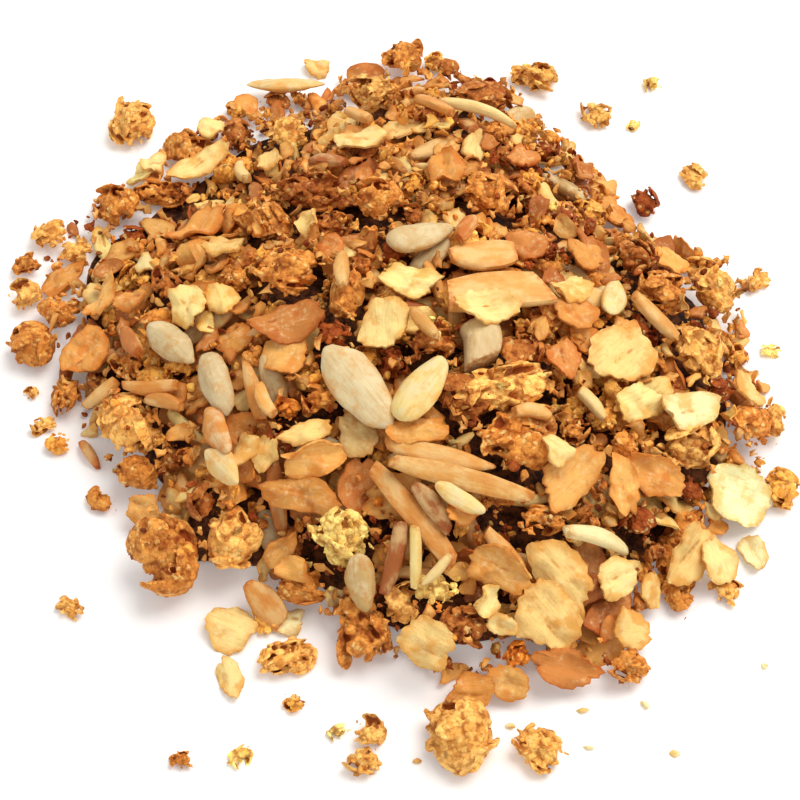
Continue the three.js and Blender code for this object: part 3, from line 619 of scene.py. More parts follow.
def boxed_chart(points: Array, faces: Array) -> Array:
    """A chart of six fields, one for each side that a face looks to.

    Args:
        points: the body's points.
        faces: its triangles.

    Returns:
        The place of each corner on the unit square.
    """
    corners = points[faces]
    flat = np.cross(corners[:, 1] - corners[:, 0], corners[:, 2] - corners[:, 0])
    axis = np.abs(flat).argmax(1)
    side = axis * 2 + (flat[np.arange(len(flat)), axis] > 0)
    low = points.min(0)
    span = np.maximum(np.ptp(points, axis=0), 1e-6)
    share = (corners - low) / span
    chart = np.zeros((len(faces), 3, 2))
    for number in range(6):
        mine = side == number
        across = [i for i in range(3) if i != number // 2]
        column = number % 3
        row = number // 3
        spot = share[mine][:, :, across]
        chart[mine, :, 0] = (column + 0.03 + 0.94 * spot[:, :, 0]) / 3
        chart[mine, :, 1] = (row + 0.02 + 0.96 * spot[:, :, 1]) / 2
    return chart


def bent(points: Array, offset: float, angle: float, width: float) -> Array:
    """Points folded up along a line that runs down the length.

    Args:
        points: the points, x along the piece.
        offset: where across the piece the fold begins.
        angle: how far the far side is turned up, in radians.
        width: how wide the bend is.

    Returns:
        The folded points.
    """
    if abs(angle) < 1e-3:
        return points
    radius = width / angle
    across = points[:, 1] - offset
    part = np.clip(across, 0, width) / width * angle
    beyond = np.maximum(across - width, 0)
    reach = radius - points[:, 2]
    result = points.copy()
    over = across > 0
    result[over, 1] = (offset + np.sin(part) * reach + beyond * math.cos(angle))[over]
    result[over, 2] = (radius - np.cos(part) * reach + beyond * math.sin(angle))[over]
    return result


@dataclass(frozen=True)
class OatFlake:
    """A rolled oat: a thin ragged oval with a crease down its length."""

    long: float
    wide: float
    thick: float = 0.62
    curl: float = 0.3
    fold: float = 0.0
    sides: int = 32
    rings: int = 7
    under_rings: int = 3
    ragged: float = 0.08
    torn: int = 2

    def outline(self, rng: Stream) -> Array:
        """How far out the rim runs in each direction, as a share of the plain oval."""
        angle = round_angles(self.sides)
        rim = np.ones(self.sides)
        for waves, size in ((2, 0.05), (3, 0.05), (5, 0.03), (8, 0.02), (11, 0.018)):
            rim += size * rng.uniform(0.3, 1) * np.cos(waves * angle + rng.uniform(0, 6.3))
        for _ in range(self.torn):
            facing = np.cos(angle - rng.uniform(0, 6.3))
            reach = rng.uniform(0.66, 0.94)
            rim = np.where(facing > 0.3, np.minimum(rim, reach / np.maximum(facing, 0.3)), rim)
        split = np.angle(np.exp(1j * (angle - rng.choice([0, math.pi]) - rng.normal() * 0.3)))
        rim -= rng.uniform(0.0, 0.22) * np.exp(-((split / 0.13) ** 2))
        return rim + self.ragged * rng.uniform(-1, 0.6, self.sides)

    def build(self, rng: Stream) -> Body:
        """Makes the flake.

        Args:
            rng: the stream that its unevenness is drawn from.

        Returns:
            The flake's mesh.
        """
        rim = self.outline(rng)
        crease = max(0.0, rng.uniform(-0.14, 0.26))
        wander = rng.uniform(-0.5, 0.5)
        shape = _Lie(self, rng)
        top, top_unit = self._sheet(rim, self.rings)
        low, low_unit = self._sheet(rim, self.under_rings)
        s_top = np.linalg.norm(top_unit, axis=1)
        s_low = np.linalg.norm(low_unit, axis=1)
        furrow = np.abs(top[:, 1] - wander * np.cos(top[:, 0] / self.long * 3))
        inside = np.clip(1.15 - s_top**3 * 1.2, 0, 1)
        run = Unevenness.drawn(rng).at(np.column_stack([top, 0 * top[:, :1]]), 1.8)
        groove = np.exp(-((furrow / 0.3) ** 2)) * inside * np.clip(0.7 + run, 0, 1)
        ridge = np.exp(-(((furrow - 0.9) / 0.5) ** 2)) * inside
        half = self.thick / 2
        z_top = shape.height(top, s_top) + half * (1 - 0.55 * s_top**6)
        z_top += -crease * groove + 0.4 * crease * ridge
        z_low = shape.height(low, s_low) - half * (1 - 0.55 * s_low**6)
        points = np.vstack([np.column_stack([top, z_top]), np.column_stack([low, z_low])])
        points = bent(points, wander, self.fold, 1.1)
        rims = np.concatenate([s_top, s_low])
        hollow = np.concatenate([groove * min(crease / 0.15, 1), np.zeros(len(low))])
        rough = Unevenness.drawn(rng).at(points, 2.4)
        faces, chart = self._skin(len(top), top_unit, low_unit)
        return Body(points, faces, chart, rims, hollow, rough * 0.5 + 0.5)

    def _sheet(self, rim: Array, rings: int) -> tuple[Array, Array]:
        """One face's points, and their places on a unit disc."""
        angle = round_angles(self.sides)
        way = np.column_stack([np.cos(angle), np.sin(angle)])
        flat = [np.zeros((1, 2))]
        disc = [np.zeros((1, 2))]
        for ring in range(1, rings + 1):
            share = (ring / rings) ** 0.85
            grow = share * (1 + (rim - 1) * share**1.5)
            flat.append(way * grow[:, None] * np.array([self.long, self.wide]) / 2)
            disc.append(way * share)
        return np.vstack(flat), np.vstack(disc)

    def _fan(self, first: int, rings: int) -> Array:
        """The triangles of one face, facing up."""
        i = np.arange(self.sides)
        j = (i + 1) % self.sides
        parts = [np.column_stack([np.full(self.sides, first), first + 1 + i, first + 1 + j])]
        for ring in range(rings - 1):
            near = first + 1 + ring * self.sides
            far = near + self.sides
            parts.append(np.column_stack([near + i, far + i, far + j]))
            parts.append(np.column_stack([near + i, far + j, near + j]))
        return np.vstack(parts)

    def _skin(self, low_first: int, top_unit: Array, low_unit: Array) -> tuple[Array, Array]:
        """All the triangles, and their places on the chart."""
        top = self._fan(0, self.rings)
        low = self._fan(low_first, self.under_rings)[:, ::-1]
        high_rim = 1 + (self.rings - 1) * self.sides
        low_rim = low_first + 1 + (self.under_rings - 1) * self.sides
        band = band_between(low_rim, high_rim, self.sides)
        i = np.arange(self.sides)
        none = 0 * i
        one = 1 + none
        strip = [corners_of([[i, none], [i + 1, none], [i + 1, one]])]
        strip.append(corners_of([[i, none], [i + 1, one], [i, one]]))
        strip = np.vstack(strip) * np.array([0.98 / self.sides, 0.1]) + np.array([0.01, 0.02])
        high_chart = top_unit[top] * 0.32 + np.array([0.34, 0.62])
        low_chart = low_unit[low - low_first] * 0.15 + np.array([0.83, 0.45])
        return np.vstack([top, low, *band]), np.concatenate([high_chart, low_chart, strip])


class _Lie:
    """How a flake curls and waves out of its plane."""

    def __init__(self, flake: OatFlake, rng: Stream) -> None:
        """Draws the flake's curls."""
        self.flake = flake
        self.sway = rng.uniform(-1, 1, 6)
        self.grain = Unevenness.drawn(rng)

    def height(self, flat: Array, out: Array) -> Array:
        """Height of the flake's middle sheet at each place."""
        u = flat[:, 0] / self.flake.long * 2
        v = flat[:, 1] / self.flake.wide * 2
        angle = np.arctan2(v, u)
        curl = self.flake.curl
        bow = curl * (0.9 + 0.4 * self.sway[0]) * (u**2 - 0.4) + curl * 0.7 * self.sway[1] * v**2
        wave = 0.5 * out**2 * self.sway[2] * np.cos(2 * angle + 3 * self.sway[3])
        edge = 0.35 * out**3 * np.cos(4 * angle + 6 * self.sway[4]) * self.sway[5]
        lumps = np.column_stack([flat, np.zeros(len(flat))])
        return bow + wave + edge + 0.4 * self.grain.at(lumps, 1.9) + 0.24 * self.grain.at(lumps, 0.9)


def round_loft(rings: list[Array], start: Array, end: Array) -> tuple[Array, Array, Array]:
    """A closed skin over rings of equal size, from one end point to the other.

    Args:
        rings: the rings' points, in order along the piece.
        start: the point before the first ring.
        end: the point after the last.

    Returns:
        The points, the triangles and their places on the chart.
    """
    sides = len(rings[0])
    count = len(rings)
    points = np.vstack([start[None], *rings, end[None]])
    i = np.arange(sides)
    j = (i + 1) % sides
    near = 0 * i
    faces = [np.column_stack([near, 1 + j, 1 + i])]
    chart = [corners_of([[i + 0.5, near], [i + 1, near + 1], [i, near + 1]])]
    for k in range(count - 1):
        faces += band_between(1 + k * sides, 1 + (k + 1) * sides, sides)
        near = near + 1
        chart.append(corners_of([[i, near], [i + 1, near], [i + 1, near + 1]]))
        chart.append(corners_of([[i, near], [i + 1, near + 1], [i, near + 1]]))
    last = 1 + (count - 1) * sides
    faces.append(np.column_stack([last + i, last + j, np.full(sides, len(points) - 1)]))
    near = near + 1
    chart.append(corners_of([[i, near], [i + 1, near], [i + 0.5, near + 1]]))
    spread = np.concatenate(chart) * np.array([0.96 / sides, 0.96 / (count + 1)]) + 0.02
    return points, np.vstack(faces), spread


@dataclass(frozen=True)
class SunflowerKernel:
    """A hulled sunflower seed: blunt at one end, pointed at the other, gently ribbed."""

    long: float
    wide: float
    flatness: float = 0.5
    sides: int = 18
    stations: int = 13
    point: float = 0.3

    def build(self, rng: Stream) -> Body:
        """Makes the kernel.

        Args:
            rng: the stream that its unevenness is drawn from.

        Returns:
            The kernel's mesh.
        """
        angle = round_angles(self.sides)
        along = 0.5 - 0.5 * np.cos(np.linspace(0.16, math.pi - 0.1, self.stations))
        girth = (1 - np.abs(2 * along - 1) ** 2.3) ** 0.62 * (1 - self.point * along**1.5)
        girth = girth / girth.max()
        side = rng.uniform(-0.12, 0.12)
        rings = []
        for place, size in zip(along, girth):
            lens = np.abs(np.sin(angle)) ** 1.35 * np.sign(np.sin(angle))
            y = np.cos(angle) * size * self.wide / 2 + side * self.wide * (place - 0.4) ** 2
            z = lens * size**0.8 * self.wide * self.flatness / 2
            rings.append(np.column_stack([np.full(self.sides, (place - 0.5) * self.long), y, z]))
        start = np.array([-self.long / 2, 0, 0])
        end = np.array([self.long / 2, side * self.wide * 0.3, 0])
        points, faces, chart = round_loft(rings, start, end)
        facing = normals_of(points, faces)
        grain = Unevenness.drawn(rng)
        stretched = points * np.array([0.35, 1, 1])
        dents = 0.34 * grain.at(stretched, 1.4) + 0.1 * grain.at(points, 0.9)
        points = points + facing * dents[:, None]
        rim = np.abs(facing[:, 1])
        return Body(points, faces, chart, rim, np.zeros(len(points)), grain.at(points, 2.2) * 0.5 + 0.5)


@dataclass(frozen=True)
class AlmondSliver:
    """A cut stick or plank of almond: four flat sides, cut ends, a slight bow."""

    long: float
    wide: float
    thick: float = 1.3
    curl: float = 0.2
    taper: float = 0.42
    sides: int = 16
    stations: int = 11

    def build(self, rng: Stream) -> Body:
        """Makes the sliver.

        Args:
            rng: the stream that its unevenness is drawn from.

        Returns:
            The sliver's mesh.
        """
        angle = (np.arange(self.sides) + 0.5) / self.sides * 2 * math.pi
        corner = (np.abs(np.cos(angle)) ** 4 + np.abs(np.sin(angle)) ** 4) ** -0.25
        along = np.linspace(0, 1, self.stations)
        taper = self.taper * rng.uniform(0.6, 1.4)
        girth = 1 - taper * (2 * np.abs(along - rng.uniform(0.42, 0.58))) ** 2.4
        bow = (self.curl + rng.uniform(0, 0.25)) * (1 - (2 * along - 1) ** 2)
        sway = rng.uniform(-0.4, 0.4) * np.sin(along * rng.uniform(2, 4))
        slant = rng.uniform(-0.5, 0.5, 2)
        rings = []
        for k, place in enumerate(along):
            y = np.cos(angle) * corner * girth[k] * self.wide / 2 + sway[k]
            z = np.sin(angle) * corner * (0.55 + 0.45 * girth[k]) * self.thick / 2 + bow[k]
            cut = slant[0] * (1 - place) ** 3 + slant[1] * place**3
            x = (place - 0.5) * self.long * 0.96 + cut * y
            rings.append(np.column_stack([x, y, z]))
        start = rings[0].mean(0) - np.array([0.02 * self.long, 0, 0])
        end = rings[-1].mean(0) + np.array([0.02 * self.long, 0, 0])
        points, faces, chart = round_loft(rings, start, end)
        points = points - np.array([0, 0, points[:, 2].mean()])
        facing = normals_of(points, faces)
        grain = Unevenness.drawn(rng)
        rough = 0.1 * grain.at(points * np.array([0.5, 1, 1]), 1.2) + 0.05 * grain.at(points, 0.6)
        points = points + facing * rough[:, None]
        edge = np.abs(np.sin(2 * angle)) ** 1.5
        rim = np.concatenate([[1], np.tile(edge, self.stations), [1]])
        ends = np.concatenate([[1], np.repeat(np.abs(2 * along - 1) ** 4, self.sides), [1]])
        patch = grain.at(points, 2.6) * 0.5 + 0.5
        return Body(points, faces, chart, np.maximum(rim * 0.8, ends), np.zeros(len(points)), patch)


def sphere(detail: int) -> tuple[Array, Array]:
    """A ball of triangles with a radius of one.

    Args:
        detail: how many times its faces are split.

    Returns:
        Its points and its triangles.
    """
    made = bmesh.new()
    bmesh.ops.create_icosphere(made, subdivisions=detail, radius=1.0)
    points = np.array([v.co[:] for v in made.verts])
    faces = np.array([[v.index for v in f.verts] for f in made.faces])
    made.free()
    return points, faces


def turned(rng: Stream) -> Array:
    """A matrix that turns a body any way at all."""
    made, _ = np.linalg.qr(rng.normal(size=(3, 3)))
    return made * np.sign(np.linalg.det(made))


@dataclass(frozen=True)
class Crumb:
    """A bit that broke off: a small angular grain."""

    detail: int = 2
    angular: float = 0.3

    def build(self, rng: Stream) -> Body:
        """Makes a crumb about one millimetre across.

        Args:
            rng: the stream that its unevenness is drawn from.

        Returns:
            The crumb's mesh.
        """
        points, faces = sphere(self.detail)
        grain = Unevenness.drawn(rng)
        grow = 1 + self.angular * grain.at(points, 0.9) + 0.16 * grain.at(points, 0.45)
        half = np.array([0.56, rng.uniform(0.28, 0.46), rng.uniform(0.2, 0.36)])
        points = points * grow[:, None] * half
        for _ in range(6):
            way = unit(rng.normal(size=3))
            reach = rng.uniform(0.13, 0.3)
            points = points - way * np.maximum(points @ way - reach, 0)[:, None]
        shade = grain.at(points, 0.5) * 0.5 + 0.5
        chart = boxed_chart(points, faces)
        plain = np.zeros(len(points))
        return Body(points, faces, chart, plain, plain, shade)


@dataclass(frozen=True)
class BakedCluster:
    """Crumbs, broken flakes and syrup baked into one crumbly lump, about its own size."""

    long: float
    wide: float
    high: float
    crumbs: int
    flakes: int
    triangles: int
    voxel: float
    crag: float
    core: float = 0.64
    crumb_half: float = 0.42

    def build(self, rng: Stream) -> Body:
        """Makes the lump: its bits are pressed together, joined to one skin and roughened.

        Args:
            rng: the stream that its bits are drawn from.

        Returns:
            The lump's mesh.
        """
        half = np.array([self.long, self.wide, self.high]) / 2
        mean = float(np.cbrt(np.prod(half)))
        ball, skin = sphere(2)
        grit = [Crumb(angular=0.34).build(rng).points / self.crumb_half for _ in range(6)]
        parts = [ball * half * self.core]
        centres = [np.zeros(3)]
        for i in range(self.crumbs):
            rise = 1 - 2 * (i + 0.5) / self.crumbs
            flat = math.sqrt(1 - rise * rise)
            swing = i * 2.4 + rng.uniform(-0.3, 0.3)
            way = np.array([flat * math.cos(swing), flat * math.sin(swing), rise])
            size = mean * (0.13 + 0.3 * rng.random() ** 1.6)
            squash = np.array([1, rng.uniform(0.6, 1.0), rng.uniform(0.4, 0.9)])
            centre = way * (half - size * 0.4) * rng.uniform(self.core, 1.0)
            parts.append(grit[i % len(grit)] * squash * size @ turned(rng).T + centre)
            centres.append(centre)
        for _ in range(self.flakes):
            way = unit(rng.normal(size=3))
            size = mean * rng.uniform(0.5, 1.0)
            lean = unit(way + rng.normal(size=3) * 0.4)
            side = unit(np.cross(lean, rng.normal(size=3)))
            basis = np.column_stack([side, np.cross(lean, side), lean])
            bowl = ball * np.array([1, rng.uniform(0.55, 0.9), 0.13])
            bowl[:, 2] -= 0.25 * (bowl[:, 0] ** 2 + bowl[:, 1] ** 2)
            centre = way * half * rng.uniform(0.74, 0.95)
            parts.append(bowl * size @ basis.T + centre)
            centres.append(centre)
        points = np.vstack(parts)
        faces = np.vstack([skin + k * len(ball) for k in range(len(parts))])
        points, faces = self._one_skin(points, faces, rng)
        points = points * (2 * half / np.ptp(points, axis=0))
        points = points - (points.max(0) + points.min(0)) / 2
        facing = normals_of(points, faces)
        # How deep each point lies in a hollow, below 0 where it stands proud; the finish turns this into
        # painted shade and painted highlight.
        depth = ((smoothed(points, faces, 14) - points) * facing).sum(1)
        hollow = np.clip(depth / (0.14 * mean), -1, 1)
        shade = rng.uniform(0, 1, len(centres))
        near = np.linalg.norm(points[:, None] - np.array(centres)[None], axis=2).argmin(1)
        chart = boxed_chart(points, faces)
        return Body(points, faces, chart, np.zeros(len(points)), hollow, shade[near])

    def _one_skin(self, points: Array, faces: Array, rng: Stream) -> tuple[Array, Array]:
        """The bits as one skin, roughened, with the number of triangles asked for."""
        data = bpy.data.meshes.new("lump")
        data.from_pydata(points.tolist(), [], faces.tolist())
        lump = bpy.data.objects.new("lump", data)
        bpy.context.scene.collection.objects.link(lump)
        join = lump.modifiers.new("join", "REMESH")
        join.mode = "VOXEL"
        join.voxel_size = self.voxel
        dense, quads = read_mesh(lump)
        lump.modifiers.clear()
        facing = normals_of(dense, quads)
        grain = Unevenness.drawn(rng)
        ridged = 0.4 - np.abs(grain.at(dense, 0.9))
        rough = self.crag * (grain.at(dense, 1.6) + ridged + 0.5 * grain.at(dense, 0.45))
        dense = dense + facing * rough[:, None]
        finer = bpy.data.meshes.new("lump")
        finer.from_pydata(dense.tolist(), [], quads.tolist())
        lump.data = finer
        thin = lump.modifiers.new("thin", "DECIMATE")
        thin.ratio = min(1.0, self.triangles / len(quads))
        result = read_mesh(lump)
        bpy.data.objects.remove(lump)
        bpy.data.meshes.remove(data)
        bpy.data.meshes.remove(finer)
        return result


def read_mesh(thing: bpy.types.Object) -> tuple[Array, Array]:
    """The points and triangles of an object with its modifiers worked out.

    Args:
        thing: the object.

    Returns:
        Its points and its triangles.
    """
    graph = bpy.context.evaluated_depsgraph_get()
    shown = thing.evaluated_get(graph)
    data = shown.to_mesh()
    data.calc_loop_triangles()
    points = np.empty(len(data.vertices) * 3)
    data.vertices.foreach_get("co", points)
    faces = np.empty(len(data.loop_triangles) * 3, np.int32)
    data.loop_triangles.foreach_get("vertices", faces)
    shown.to_mesh_clear()
    return points.reshape(-1, 3), faces.reshape(-1, 3).astype(int)


# ---- shader expressions


class Shade:
    """A shader's value or colour, whose operators add the nodes that work it out."""

    def __init__(self, bench: Bench, socket: bpy.types.NodeSocket) -> None:
        """Wraps a socket of a bench's tree."""
        self.bench = bench
        self.socket = socket

    def _with(self, operation: str, first: object, second: object) -> Shade:
        """The node for one operator: Math on values, Vector Math on colours and vectors."""
        both = (first, second)
        if not any(isinstance(x, Shade) and x.socket.type in {"RGBA", "VECTOR"} for x in both):
            return self.bench.add("ShaderNodeMath", {"operation": operation}, {0: first, 1: second})
        first, second = (x if isinstance(x, Shade | tuple) else (x, x, x) for x in both)
        return self.bench.add("ShaderNodeVectorMath", {"operation": operation}, {0: first, 1: second})

    def __add__(self, other: object) -> Shade:
        """This plus another."""
        return self._with("ADD", self, other)

    def __radd__(self, other: object) -> Shade:
        """Another plus this."""
        return self._with("ADD", other, self)

    def __sub__(self, other: object) -> Shade:
        """This less another."""
        return self._with("SUBTRACT", self, other)

    def __rsub__(self, other: object) -> Shade:
        """Another less this."""
        return self._with("SUBTRACT", other, self)

    def __mul__(self, other: object) -> Shade:
        """This times another."""
        return self._with("MULTIPLY", self, other)

    def __rmul__(self, other: object) -> Shade:
        """Another times this."""
        return self._with("MULTIPLY", other, self)

    def over(self, low: float, high: float) -> Shade:
        """From 0 at low to 1 at high, eased.

        Args:
            low: the value that becomes 0.
            high: the value that becomes 1.

        Returns:
            The eased value.
        """
        settings = {"interpolation_type": "SMOOTHSTEP"}
        return self.bench.add("ShaderNodeMapRange", settings, {0: self, 1: low, 2: high})


@dataclass
class Bench:
    """The node tree in which one finish is put together."""

    tree: bpy.types.NodeTree

    def node(self, kind: str, settings: Settings, inputs: Sockets) -> bpy.types.Node:
        """Adds a node.

        Args:
            kind: Blender's name for the node's type.
            settings: its own settings, set before its sockets; stops are a ramp's.
            inputs: a value or a link for each socket named or numbered.

        Returns:
            The node.
        """
        made = self.tree.nodes.new(kind)
        for name, value in settings.items():
            if name == "stops":
                self._stops(made.color_ramp, value)
            else:
                setattr(made, name, value)
        for name, value in inputs.items():
            socket = made.inputs[name]
            if isinstance(value, Shade):
                self.tree.links.new(value.socket, socket)
            elif socket.type == "RGBA" and len(value) == 3:
                socket.default_value = (*value, 1.0)
            else:
                socket.default_value = value
        return made

    def _stops(self, ramp: bpy.types.ColorRamp, stops: list[tuple[float, tuple]]) -> None:
        """Sets a ramp's stops."""
        while len(ramp.elements) < len(stops):
            ramp.elements.new(0.5)
        for element, (place, colour) in zip(ramp.elements, stops):
            element.position = place
            element.color = (*colour, 1.0)

    def add(
        self,
        kind: str,
        settings: Settings | None = None,
        inputs: Sockets | None = None,
        output: object = 0,
    ) -> Shade:
        """Adds a node and gives one of its outputs.

        Args:
            kind: Blender's name for the node's type.
            settings: its own settings.
            inputs: a value or a link for each socket named or numbered.
            output: the name or number of the output.

        Returns:
            That output.
        """
        return Shade(self, self.node(kind, settings or {}, inputs or {}).outputs[output])

    def ground(self) -> tuple[Shade, Shade]:
        """The piece's own colour, and the place on it in millimetres."""
        return self.field("tint", "Color"), self.field("own", "Vector")

    def field(self, name: str, output: str = "Fac") -> Shade:
        """What the mesh holds under a name."""
        settings = {"attribute_type": "GEOMETRY", "attribute_name": name}
        return self.add("ShaderNodeAttribute", settings, {}, output)

    def noise(self, where: Shade, scale: float, detail: float = 3.0, rough: float = 0.55) -> Shade:
        """Cloudy noise from 0 to 1, with scale clouds to the millimetre."""
        inputs = {"Vector": where, "Scale": scale, "Detail": detail, "Roughness": rough}
        return self.add("ShaderNodeTexNoise", {}, inputs, "Fac")

    def grains(self, where: Shade, size: float) -> tuple[Shade, Shade]:
        """A pattern of packed crumbs.

        Args:
            where: the place on the surface, in millimetres.
            size: how large the crumbs are.

        Returns:
            How far each place is from its crumb's middle, and a draw of each crumb's own.
        """
        ripple = {"Vector": where, "Scale": 1.6 / size, "Detail": 2.0}
        warp = self.add("ShaderNodeTexNoise", {}, ripple, "Color")
        inputs = {"Vector": where + warp * (0.7 * size), "Scale": 1 / size, "Randomness": 1.0}
        made = self.node("ShaderNodeTexVoronoi", {"feature": "F1"}, inputs)
        draw = self.add("ShaderNodeSeparateXYZ", {}, {0: Shade(self, made.outputs["Color"])})
        return Shade(self, made.outputs["Distance"]), draw

    def mix(self, share: Shade | float, first: object, second: object) -> Shade:
        """From the first colour to the second as share goes from 0 to 1."""
        inputs = {0: share, 6: first, 7: second}
        return self.add("ShaderNodeMix", {"data_type": "RGBA"}, inputs, 2)


@dataclass(frozen=True)
class Finish:
    """What every finish of the granola shares: its gloss, how high its relief stands, and its glow,
    which is painted light.
    """

    name: str
    roughness: float = 0.6
    gloss: float = 0.22
    relief: float = 0.1
    glow: float = 0.0

    def colour(self, bench: Bench) -> Shade:
        """The colour over the surface."""
        raise NotImplementedError

    def height(self, bench: Bench) -> Shade:
        """The relief over the surface, from 0 to 1."""
        raise NotImplementedError

    def material(self) -> bpy.types.Material:
        """Makes the material.

        Returns:
            The Blender material.
        """
        made = bpy.data.materials.new(self.name)
        made.use_nodes = True
        made.node_tree.nodes.clear()
        bench = Bench(made.node_tree)
        height = self.height(bench)
        bump = {"Strength": 1.0, "Distance": self.relief * MM, "Height": height}
        spread = height.over(0.2, 0.8)
        inputs = {
            "Base Color": self.colour(bench),
            "Roughness": self.roughness + 0.16 * (1 - spread),
            "Specular IOR Level": self.gloss,
            # Painted light: where glow is set, the surface glows a faint cool white though no lamp is
            # there.
            "Emission Color": (0.92, 0.97, 1.0),
            "Emission Strength": self.glow,
            "Normal": bench.add("ShaderNodeBump", {}, bump, "Normal"),
        }
        shader = bench.add("ShaderNodeBsdfPrincipled", {}, inputs)
        bench.node("ShaderNodeOutputMaterial", {}, {"Surface": shader})
        return made


@dataclass(frozen=True)
class OatFinish(Finish):
    """Toasted oat: pale and starchy, browner at the rim and in the crease, finely streaked."""

    toasted: Triple = (0.86, 0.6, 0.34)
    burnt: Triple = (0.6, 0.28, 0.1)
    floury: Triple = linear("F8E2AA")

    def colour(self, bench: Bench) -> Shade:
        """The colour over the surface."""
        tint, own = bench.ground()
        rim = bench.field("rim")
        crease = bench.field("hollow")
        cloud = bench.noise(own, 0.42, 4.0)
        fine = bench.noise(own, 1.7, 3.0)
        streak = bench.noise(own * (0.35, 3.4, 1.0), 1.0, 3.0)
        pale = bench.mix((fine * cloud).over(0.22, 0.42) * 0.55, tint, self.floury)
        warm = bench.mix(cloud.over(0.5, 0.66) * 0.9, pale, tint * self.toasted)
        lined = bench.mix(streak.over(0.52, 0.72) * 0.5, warm, tint * self.toasted)
        wide = rim.over(0.55, 1.0) * cloud.over(0.34, 0.56)
        broad = bench.mix(wide * 0.85, lined, tint * self.toasted)
        edge = rim.over(0.86, 1.0) * fine.over(0.42, 0.6)
        edged = bench.mix(edge * 0.55, broad, tint * self.burnt)
        deep = crease.over(0.35, 1.0) * bench.noise(own, 0.9, 2.0).over(0.36, 0.6)
        bran = bench.noise(own * (0.6, 2.4, 1.0), 2.4, 3.0).over(0.62, 0.7)
        creased = bench.mix(deep * 0.8, edged, tint * self.burnt)
        return bench.mix(bran * 0.3, creased, tint * self.burnt)

    def height(self, bench: Bench) -> Shade:
        """The relief over the surface, from 0 to 1."""
        own = bench.field("own", "Vector")
        streak = bench.noise(own * (0.4, 2.6, 1.0), 1.0, 4.0, 0.6)
        return bench.noise(own, 1.3, 6.0, 0.68) * 0.65 + streak * 0.35


@dataclass(frozen=True)
class ClusterFinish(Finish):
    """Baked crumb with bits of pale oat: lighter and golden where it stands proud, by painted highlight;
    red-brown in its hollows and between its grains, by painted shade.
    """

    # Painted shade: the colour that the hollows and the gaps between the grains are darkened to.
    crevice_shade: Triple = (0.36, 0.13, 0.035)
    browned: Triple = (0.72, 0.48, 0.26)
    seared: Triple = (0.55, 0.29, 0.12)
    lightened: Triple = (1.22, 1.3, 1.36)
    golden: Triple = (1.2, 1.3, 1.1)
    # Painted highlight: how much lighter the parts that stand proud are made.
    knob_highlight: Triple = (1.25, 1.25, 1.2)
    floury: Triple = linear("F4D588")
    coarse: float = 1.0
    fine: float = 0.46

    def colour(self, bench: Bench) -> Shade:
        """The colour over the surface."""
        tint, own = bench.ground()
        hollow = bench.field("hollow")
        patch = bench.field("patch")
        lump, draw = bench.grains(own, self.coarse)
        grit, speck = bench.grains(own, self.fine)
        tint = tint * self.golden
        cloud = bench.noise(own, 0.62, 3.0, 0.6)
        brown = (1 - patch).over(0.45, 1.0) * 0.35
        base = bench.mix(brown, tint, tint * self.browned)
        dark = bench.mix(draw.over(0.6, 0.95) * 0.55, base, tint * self.browned)
        pale = bench.mix((0.4 - draw).over(0.0, 0.2) * 0.6, dark, tint * self.lightened)
        bits = bench.mix((0.1 - speck).over(0.0, 0.05) * 0.6, pale, self.floury)
        # Painted highlight: where the surface stands proud, it is made lighter.
        knob = bench.mix((hollow * -1.0).over(0.0, 0.7) * 0.6, bits, bits * self.knob_highlight)
        toasted = bench.mix(speck.over(0.7, 0.95) * 0.5, knob, tint * self.browned)
        seared = bench.mix(cloud.over(0.54, 0.68) * 0.65, toasted, tint * self.seared)
        # Painted shade: the gaps between the coarse and the fine grains, and the hollows, are darkened
        # to red-brown.
        gaps = bench.mix(lump.over(0.5, 0.9) * 0.7, seared, tint * self.crevice_shade)
        pits = bench.mix(grit.over(0.55, 0.95) * 0.45, gaps, tint * self.crevice_shade)
        return bench.mix(hollow.over(0.1, 0.7) * 0.95, pits, tint * self.crevice_shade)

    def height(self, bench: Bench) -> Shade:
        """The relief over the surface, from 0 to 1."""
        own = bench.field("own", "Vector")
        lump, _ = bench.grains(own, self.coarse)
        grit, _ = bench.grains(own, self.fine)
        rough = bench.noise(own, 2.6, 5.0, 0.7)
        return (1 - lump * lump) * 0.5 + (1 - grit * grit) * 0.25 + rough * 0.35


@dataclass(frozen=True)
class KernelFinish(Finish):
    """Sunflower kernel: grey-cream and smooth, golden at its edges, faintly ribbed."""

    dulled: Triple = (0.87, 0.84, 0.84)
    ribs: Triple = (0.8, 0.72, 0.55)
    edge: Triple = (0.95, 0.62, 0.3)
    floury: Triple = linear("E2D2A6")

    def colour(self, bench: Bench) -> Shade:
        """The colour over the surface."""
        tint, own = bench.ground()
        rim = bench.field("rim")
        cloud = bench.noise(own, 0.4, 4.0)
        rib = bench.noise(own * (0.25, 2.2, 1.0), 1.0, 3.0)
        tint = tint * self.dulled
        pale = bench.mix(cloud.over(0.42, 0.6) * 0.55, tint, self.floury)
        ribbed = bench.mix(rib.over(0.5, 0.7) * 0.5, pale, tint * self.ribs)
        fleck = bench.noise(own, 0.6, 5.0, 0.7)
        golden = bench.mix(fleck.over(0.46, 0.7) * 0.75, ribbed, tint * self.edge)
        warm = rim.over(0.5, 1.0) * fleck.over(0.36, 0.56)
        return bench.mix(warm * 0.8, golden, tint * self.edge)

    def height(self, bench: Bench) -> Shade:
        """The relief over the surface, from 0 to 1."""
        own = bench.field("own", "Vector")
        return bench.noise(own * (0.3, 1.6, 1.6), 1.2, 4.0) * 0.8 + bench.noise(own, 4.0, 2.0) * 0.2


